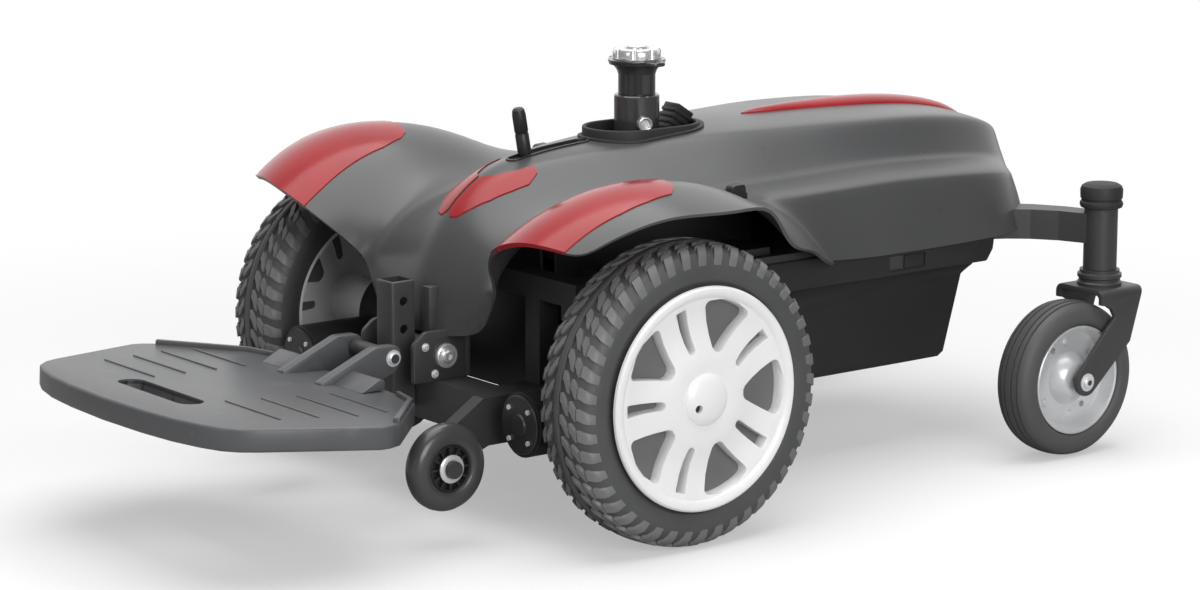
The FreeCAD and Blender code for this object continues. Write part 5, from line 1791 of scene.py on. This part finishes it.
@dataclass(frozen=True)
class Footplate:
    """The moulded footplate: grip ribs, hand slot, rear lips, ribs below and hinge ears."""

    hinge_y: float = -186
    hinge_z: float = 176
    top: float = 166
    bottom: float = 142
    tilt_deg: float = -3.3
    pivot_y: float = -400
    slot_middle_y: float = -442
    # Half lengths and corner radius of the hand slot, and how much larger the ring round it is
    slot_half: Point = (71, 15, 14.9)
    slot_ring: float = 4
    ribs_x: Sequence[float] = (-120, -60, 0, 60, 120)
    ribs_y: Sequence[float] = (-395, -320)
    # Grip ribs: y, inner and outer end
    grips: Sequence[Point] = ((-408, 70, 172), (-368, 74, 180), (-328, 78, 190), (-290, 82, 185))
    lip: Outline = ((234, -308), (155, -238), (118, -229), (117, -234), (152, -243), (229, -313))
    ear_x: tuple[float, float] = (29, 43)
    web_x: tuple[float, float] = (42, 96)
    web: Outline = ((-262, 158), (-232, 158), (-232, 168), (-238, 170))

    @staticmethod
    def outline(inset: float) -> list[tuple[float, float]]:
        """The plan outline of the footplate.

        Args:
            inset: How far it is drawn in.

        Returns:
            Its corners, in plan.
        """
        left = [(0, -510 + inset), (70, -507 + inset), (120, -501 + inset), (158 - inset, -491 + inset),
                (180 - inset, -481 + inset), (193 - inset, -468 + inset * 0.6),
                (202 - inset, -450 + inset * 0.4), (243 - inset, -335), (241.6 - inset, -322),
                (233 - inset, -305 - inset * 0.5), (155 - inset, -235 - inset), (110, -226.6 - inset),
                (55, -220.8 - inset), (0, -219 - inset)]
        return left + [(-x, y) for x, y in reversed(left[1:-1])]

    def slot_outline(self, larger: float) -> list[tuple[float, float]]:
        """The hand slot's outline.

        Args:
            larger: How much larger it is all round.

        Returns:
            Its corners, in plan.
        """
        x, half_y, radius = (size + larger for size in self.slot_half)
        front, rear = self.slot_middle_y - half_y, self.slot_middle_y + half_y
        return rounded([(x, front, radius), (x, rear, radius), (-x, rear, radius), (-x, front, radius)], 8)

    def tray(self) -> list[bpy.types.Object]:
        """The tray with its slot, and the ring and ribs below it.

        Returns:
            The pieces.
        """
        tray = plate("tray", self.outline(0), Turn.Z, self.bottom, self.top)
        bevel(tray, 3.2 * MM, 3, 45)
        carve(tray, plate("hollow", self.outline(4), Turn.Z, self.bottom - 8, self.top - 5))
        below = [plate("ring", self.slot_outline(self.slot_ring), Turn.Z, self.bottom, self.top - 2)]
        rib_low, rib_high = self.bottom + 4, self.top - 3
        for x in self.ribs_x:
            below.append(slab("rib", (x - 2, -500, rib_low), (x + 2, -228, rib_high)))
        for y in self.ribs_y:
            below.append(slab("rib", (-220, y - 2, rib_low), (220, y + 2, rib_high)))
        for rib in below:
            carve(rib, plate("inside", self.outline(2), Turn.Z, self.bottom - 2, self.top), Cut.KEEP)
        parts = [tray] + below
        for part in parts:
            carve(part, plate("slot", self.slot_outline(0), Turn.Z, self.bottom - 9, self.top + 9))
        return parts

    def raised(self) -> list[bpy.types.Object]:
        """The grip ribs on top and the lips along the rear corners.

        Returns:
            The pieces.
        """
        parts = []
        for y, x_in, x_out in self.grips:
            for side in Side:
                low, high = span(side, x_in, x_out)
                grip = slab("grip", (low, y - 1.3, self.top - 1), (high, y + 1.3, self.top + 1.4))
                bevel(grip, 0.8 * MM, 2)
                parts.append(grip)
        for side in Side:
            corners = [(side.value * x, y) for x, y in self.lip]
            lip = plate("lip", corners, Turn.Z, self.top - 3, self.top + 5)
            bevel(lip, 1.5 * MM, 2, 40)
            parts.append(lip)
        return parts

    def ears(self, side: Side) -> list[bpy.types.Object]:
        """A hinge ear and the web beside it.

        Args:
            side: Their side.

        Returns:
            The two pieces.
        """
        arm = [(self.hinge_y + 11, 172, 9), (self.hinge_y + 9, 189, 9), (-207, 190, 12), (-276, 161, 0),
               (-276, 150, 0), (-226, 146, 6), (self.hinge_y + 2, 160, 10)]
        ear = plate("ear", rounded(arm, 5), Turn.X, *span(side, *self.ear_x))
        carve(ear, shaft("bore", 5.05, (side.value * 20, self.hinge_y, self.hinge_z),
                         (side.value * 60, self.hinge_y, self.hinge_z), 32))
        bevel(ear, 1.6 * MM, 2, 40)
        web = plate("web", self.web, Turn.X, *span(side, *self.web_x))
        bevel(web, 1.5 * MM, 2, 40)
        return [ear, web]

    def build(self) -> None:
        """Make the footplate and the nuts on its hinge pin."""
        parts = self.tray() + self.raised()
        for part in parts:
            swing(part, math.radians(self.tilt_deg), (0, self.pivot_y, self.top), Turn.X)
        tray = join("footplate_moulded", parts)
        whole = join("footplate_moulded", [tray] + self.ears(Side.LEFT) + self.ears(Side.RIGHT))
        smooth(whole, 35)
        dress(whole, FOOTPLATE_PLASTIC, "footplate", "footplate")
        for side in Side:
            place = (side.value * (self.ear_x[1] + 0.1), self.hinge_y, self.hinge_z)
            nut = bolt_head("hinge_nut_" + side.word, place, Turn.X, 6.2, side.value * 3.6)
            dress(nut, ZINC_RIM, "chassis")


@dataclass(frozen=True)
class FootrestMount:
    """The square tube with its holes, in its bracket with a bright pivot bolt."""

    hinge_y: float = Footplate.hinge_y
    hinge_z: float = Footplate.hinge_z
    bolt_y: float = -124
    bolt_z: float = 172
    tube_low: Point = (-15, -168, 112)
    tube_high: Point = (15, -138, 250)
    bore_low: Point = (-12.5, -165.5, 100)
    bore_high: Point = (12.5, -140.5, 260)
    holes_z: Sequence[float] = (228, 198)
    cheek: Sequence[Point] = ((-165, 146, 2), (-98, 146, 0), (-98, 200, 6), (-150, 200, 12), (-165, 188, 10))
    cheek_x: tuple[float, float] = (44, 50)
    washer: Outline = ((50.1, 7), (50.1, 13.4), (53.4, 13.0), (54.0, 11.6), (53.2, 8.0), (50.1, 7))
    small_bolts: Outline = ((-150, 184), (-138, 154))

    def tube(self) -> None:
        """The upright tube, its sleeve on the bolt, and the footplate's hinge pin."""
        tube = slab("tube", self.tube_low, self.tube_high)
        bevel(tube, 2.4 * MM, 3)
        carve(tube, slab("inside", self.bore_low, self.bore_high))
        for z in self.holes_z:
            carve(tube, shaft("hole", 5, (-20, -153, z), (20, -153, z), 32))
        sleeve = shaft("sleeve", 15.2, (-43.7, self.bolt_y, self.bolt_z), (43.7, self.bolt_y, self.bolt_z))
        web = slab("web", (-28, self.hinge_y, 167), (28, -167, 176))
        barrel = shaft("barrel", 9, (-28, self.hinge_y, self.hinge_z), (28, self.hinge_y, self.hinge_z))
        pin = shaft("pin", 5, (-47, self.hinge_y, self.hinge_z), (47, self.hinge_y, self.hinge_z), 24)
        for part in (sleeve, web, barrel):
            bevel(part, 1.0 * MM, 2, 40)
        mount = join("footrest_tube_square", [tube, sleeve, web, barrel, pin])
        smooth(mount, 30)
        dress(mount, FRAME_STEEL, "chassis", "footrest_tube")

    def bracket(self) -> None:
        """Two cheeks on a back plate, with the bolt through them."""
        parts = [plate("cheek", rounded(self.cheek, 5), Turn.X, *span(side, *self.cheek_x)) for side in Side]
        parts.append(slab("back", (-50, -98, 146), (50, -92, 200)))
        for part in parts:
            bevel(part, 1.0 * MM, 2, 40)
        parts.append(shaft("bolt", 7.9, (-52, self.bolt_y, self.bolt_z), (52, self.bolt_y, self.bolt_z), 32))
        bracket = join("footrest_bracket_folded", parts)
        smooth(bracket, 30)
        dress(bracket, FRAME_STEEL, "chassis", "footrest_bracket")

    def fixings(self) -> None:
        """Washers and bolt heads on the bracket, and the guide beside the tube."""
        for side in Side:
            washer = spun("pivot_washer_" + side.word, [(side.value * x, radius) for x, radius in self.washer],
                          (0, self.bolt_y, self.bolt_z), Turn.X, 48)
            smooth(washer, 35)
            dress(washer, BRIGHT_STEEL, "chassis")
            place = (side.value * 52, self.bolt_y, self.bolt_z)
            dress(bolt_head("pivot_bolt_" + side.word, place, Turn.X, 6.8, side.value * 6.0), BRIGHT_STEEL,
                  "chassis")
        guide = slab("bracket_guide", (17, -131, 180), (31, -117, 243))
        bevel(guide, 1.6 * MM, 2)
        smooth(guide, 30)
        dress(guide, FRAME_STEEL, "chassis")
        for index, (y, z) in enumerate(self.small_bolts):
            head = bolt_head("bracket_bolt_%d" % index, (self.cheek_x[1], y, z), Turn.X, 3.2, 3.0)
            dress(head, ZINC_RIM, "chassis")

    def build(self) -> None:
        """Make the tube, the bracket and their fixings."""
        self.tube()
        self.bracket()
        self.fixings()


@dataclass(frozen=True)
class BatteryTub:
    """The tub, slimmer below a swept waist, its upper band, and a strap in the band's recess."""

    front_y: float = 120
    # Along the box, as a share of its length: height where its side steps in
    waist: Outline = ((0.0, 152), (0.12, 166), (0.28, 180), (0.46, 191), (0.64, 199), (0.82, 205),
                      (1.0, 209))
    # The raked rear end: z, y
    rear: Outline = ((106, 492), (112, 496), (191, 512.5), (206, 528), (219, 544), (240, 544))
    wall: float = 4
    band: Sequence[Point] = ((112, 221, 2), (518, 221, 4), (527, 234, 4), (530, 254, 2), (112, 254, 2))
    band_x: tuple[float, float] = (193.2, 195.6)

    def place(self, x: float, z: float, share: float) -> Vector:
        """A place on the tub's side, a share of the way to its raked rear end."""
        return Vector((x, self.front_y + (looked_up(self.rear, z)[0] - self.front_y) * share, z))

    def tub(self) -> None:
        """The tub as one thin wall."""
        rows = []
        for share, waist in self.waist:
            section = ((0, 106), (132, 106), (140, 108), (144, 113), (144, waist - 9), (145.4, waist - 5),
                       (149.4, waist + 2), (150, waist + 6), (150, 231), (150, 236), (167.6, 236),
                       (167.6, 231.4))
            rows.append([self.place(x, z, share) for x, z in section])
        rows.insert(0, [Vector((0, point.y, point.z)) for point in rows[0]])
        rows.append([Vector((0, point.y, point.z)) for point in rows[-1]])
        tub = grid_mesh("battery_tub", rows)
        half = tub.modifiers.new("mirror", "MIRROR")
        half.merge_threshold = 0.2 * MM
        apply_modifiers(tub)
        edit(tub)
        bpy.ops.mesh.remove_doubles(threshold=0.2 * MM)
        bpy.ops.mesh.dissolve_degenerate(threshold=0.05 * MM)
        bpy.ops.mesh.select_all(action="SELECT")
        bpy.ops.mesh.normals_make_consistent(inside=False)
        close_edit()
        wall_inside(tub, self.wall)
        smooth(tub, 30)
        dress(tub, TUB, "chassis", "battery_box")

    def build(self) -> None:
        """Make the tub, its band and its strap."""
        self.tub()
        band = plate("tub_band", rounded(self.band), Turn.X, *self.band_x)
        carve(band, slab("recess", (190, 372, 226), (200, 424, 242)))
        bevel(band, 0.7 * MM, 2, 40)
        smooth(band, 30)
        dress_pair(band, TUB, "chassis")
        strap = slab("box_strap", (self.band_x[0], 394, 226.6), (self.band_x[0] + 1.6, 422, 241.4))
        bevel(strap, 0.6 * MM, 2)
        smooth(strap, 35)
        dress_pair(strap, TUB, "chassis")


@dataclass(frozen=True)
class InnerLiner:
    """The dark walls behind the nose and between the wheel arches and the inside of the hood."""

    front: Sequence[Point] = ((-108, 122, 4), (108, 122, 4), (96, 296, 12), (-96, 296, 12))
    front_y: tuple[float, float] = (-34, -31)
    side: Outline = ((-31, 150), (118, 150), (118, 264), (236, 264), (236, 318), (60, 312), (0, 304),
                     (-31, 290))
    side_x: tuple[float, float] = (116, 119)

    def build(self) -> None:
        """Make the walls as one piece."""
        walls = [plate("front", rounded(self.front), Turn.Y, *self.front_y)]
        for side in Side:
            walls.append(plate("side", self.side, Turn.X, *span(side, *self.side_x)))
        for wall in walls:
            bevel(wall, 0.6 * MM, 1, 40)
        liner = join("inner_liner", walls)
        smooth(liner, 30)
        dress(liner, BLACK_PLASTIC, "chassis")


@dataclass(frozen=True)
class MotorEnds:
    """The motors' end caps with their screws."""

    x: float = 207
    z: float = 129
    cap: Outline = ((-140.2, 0), (-140.2, 31), (-142.2, 31), (-143.4, 29.6), (-143.4, 12), (-145.6, 11),
                    (-145.6, 0))
    screw_y: tuple[float, float] = (-143.2, -145.4)
    screw_circle_r: float = 23
    screw_degrees: Sequence[float] = (45, 135, 225, 315)

    def build(self) -> None:
        """Make the caps and their screws."""
        cap = spun("motor_end_cap", self.cap, (self.x, 0, self.z), Turn.Y, 48)
        smooth(cap, 35)
        dress_pair(cap, MOTOR_HOUSING, "chassis")
        screws = []
        for degrees in self.screw_degrees:
            x, z = on_circle((self.x, self.z), self.screw_circle_r, degrees)
            screws.append(shaft("screw", 2.8, (x, self.screw_y[0], z), (x, self.screw_y[1], z), 6))
        dress_pair(join("motor_screws", screws), ZINC_RIM, "chassis")


# Finishes of the CAD nodes, and the studio


def dress_nodes() -> None:
    """Give every CAD node the finish of its slot."""
    slots = {part["node"]: part["material_slot"] for part in frame["record"]["subparts"]}
    for name, node in frame["nodes"].items():
        node.data.materials.clear()
        node.data.materials.append(FINISH_OF_SLOT[slots[name]].material())
        smooth(node, 30.0)


@dataclass(frozen=True)
class Studio:
    """Floor, lights and camera, in metres."""

    azimuth: float = 52.61
    elevation: float = 11.45
    eye: Point = (3.1339, -2.2761, 0.9981)
    lens: float = 109.36
    sensor_width: float = 36.0
    # Each light's name, place, size and power in watts
    lamps: Sequence[tuple[str, Point, float, float]] = (
        ("overhead", (0.1, 0.0, 3.0), 3.2, 92.0),
        ("key", (3.6, -1.0, 1.3), 1.8, 68.0),
        ("front", (0.8, -3.2, 1.4), 1.6, 12.0),
    )
    lamps_aim: Point = (0, 0, 0.2)
    floor_z: float = -0.0005
    floor_size: float = 16.0
    floor_seen: float = 0.95
    floor_lit: float = 0.45
    floor_fade: tuple[float, float] = (0.6, 1.7)
    floor_glow: float = 0.4
    soft_light: float = 0.22
    mirrored_light: tuple[float, float] = (0.16, 1.1)
    backdrop: Point = (-0.79, 0.57, 0.22)

    def build(self) -> None:
        """Make the floor, the world, the lights and the camera."""
        self.floor()
        self.world()
        for name, place, size, power in self.lamps:
            self.lamp(name, place, size, power)
        self.camera()

    def floor(self) -> None:
        """A plain floor, white to the camera under its lights and beyond them, with its shadow."""
        deselect()
        bpy.ops.mesh.primitive_plane_add(size=self.floor_size, location=(0, 0, self.floor_z))
        ground = adopt("floor")
        paint = bpy.data.materials.new("floor")
        paint.use_nodes = True
        tree = paint.node_tree
        shader = tree.nodes["Principled BSDF"]
        shader.inputs["Roughness"].default_value = 0.9
        shader.inputs["Specular IOR Level"].default_value = 0.1
        seen = tree.nodes.new("ShaderNodeLightPath").outputs["Is Camera Ray"]
        tone = number(tree, "MULTIPLY_ADD", seen, self.floor_seen - self.floor_lit)
        tone.node.inputs[2].default_value = self.floor_lit
        wire(tree, tone, shader.inputs["Base Color"])
        white = tree.nodes.new("ShaderNodeEmission")
        blend = tree.nodes.new("ShaderNodeMixShader")
        away = tree.nodes.new("ShaderNodeVectorMath")
        away.operation = "LENGTH"
        wire(tree, tree.nodes.new("ShaderNodeTexCoord").outputs["Object"], away.inputs[0])
        ramp = tree.nodes.new("ShaderNodeMapRange")
        ramp.interpolation_type = "SMOOTHSTEP"
        ramp.inputs["From Min"].default_value, ramp.inputs["From Max"].default_value = self.floor_fade
        ramp.inputs["To Min"].default_value = self.floor_glow
        wire(tree, away.outputs["Value"], ramp.inputs["Value"])
        wire(tree, number(tree, "MULTIPLY", ramp.outputs["Result"], seen), blend.inputs[0])
        wire(tree, shader.outputs[0], blend.inputs[1])
        wire(tree, white.outputs[0], blend.inputs[2])
        wire(tree, blend.outputs[0], tree.nodes["Material Output"].inputs["Surface"])
        ground.data.materials.append(paint)

    def world(self) -> None:
        """Soft even light all round, white where the camera sees it."""
        world = bpy.data.worlds.new("studio")
        bpy.context.scene.world = world
        world.use_nodes = True
        tree = world.node_tree
        back = tree.nodes["Background"]
        back.inputs["Color"].default_value = (1.0, 1.0, 1.0, 1.0)
        path = tree.nodes.new("ShaderNodeLightPath")
        facing = tree.nodes.new("ShaderNodeVectorMath")
        facing.operation = "DOT_PRODUCT"
        facing.inputs[1].default_value = self.backdrop
        wire(tree, tree.nodes.new("ShaderNodeTexCoord").outputs["Generated"], facing.inputs[0])
        mirrored = tree.nodes.new("ShaderNodeMapRange")
        mirrored.interpolation_type = "SMOOTHSTEP"
        mirrored.inputs["From Min"].default_value = 0.1
        mirrored.inputs["From Max"].default_value = 0.9
        mirrored.inputs["To Min"].default_value, mirrored.inputs["To Max"].default_value = self.mirrored_light
        wire(tree, facing.outputs["Value"], mirrored.inputs["Value"])
        glossy = self.blend(tree, path.outputs["Is Glossy Ray"], self.soft_light, mirrored.outputs["Result"])
        wire(tree, self.blend(tree, path.outputs["Is Camera Ray"], glossy, 1.0), back.inputs["Strength"])

    @staticmethod
    def blend(tree: bpy.types.NodeTree, share: bpy.types.NodeSocket, first: object,
              second: object) -> bpy.types.NodeSocket:
        """Mix two numbers or sockets by a share.

        Args:
            tree: The node tree.
            share: The second's share, as a socket.
            first: A socket or a number.
            second: A socket or a number.

        Returns:
            The result's socket.
        """
        node = tree.nodes.new("ShaderNodeMix")
        wire(tree, share, node.inputs[0])
        for place, value in ((2, first), (3, second)):
            if isinstance(value, bpy.types.NodeSocket):
                wire(tree, value, node.inputs[place])
            else:
                node.inputs[place].default_value = value
        return node.outputs[0]

    def lamp(self, name: str, place: Point, size: float, power: float) -> None:
        """Add a square soft light that looks at the base.

        Args:
            name: The light's name.
            place: Where it hangs.
            size: The length of its side.
            power: Its power in watts.
        """
        light = bpy.data.lights.new(name, "AREA")
        light.size = size
        light.energy = power
        lamp = bpy.data.objects.new(name, light)
        bpy.context.scene.collection.objects.link(lamp)
        lamp.location = place
        lamp.rotation_euler = (Vector(self.lamps_aim) - Vector(place)).to_track_quat("-Z", "Y").to_euler()

    def camera(self) -> None:
        """The photograph's viewpoint, solved from the wheels' ellipses."""
        data = bpy.data.cameras.new("camera")
        data.lens = self.lens
        data.sensor_width = self.sensor_width
        data.sensor_fit = "HORIZONTAL"
        camera = bpy.data.objects.new("camera", data)
        bpy.context.scene.collection.objects.link(camera)
        camera.location = Vector(self.eye) + Vector((0, AXLE_Y, 0))
        camera.rotation_euler = (math.radians(90 - self.elevation), 0, math.radians(self.azimuth))
        bpy.context.scene.camera = camera


def main() -> None:
    """Build the shader groups, dress the nodes, add the pieces and set the studio."""
    logging.basicConfig(level=logging.INFO, format="%(name)s: %(message)s")
    bpy.context.scene.view_settings.view_transform = "Standard"
    grain_group()
    wear_group()
    dress_nodes()
    shroud = Shroud()
    skin = shroud.surface()
    shroud.build(skin)
    HoodFittings(shroud.collar, shroud.slot).build(skin)
    bpy.data.objects.remove(skin)
    for sub_assembly in (SpineLens(), DriveWheels(), Casters(), AntiTipWheels(), SeatPost(), Footplate(),
                         FootrestMount(), BatteryTub(), InnerLiner(), MotorEnds()):
        sub_assembly.build()
    Studio().build()


if __name__ == "__main__":
    main()
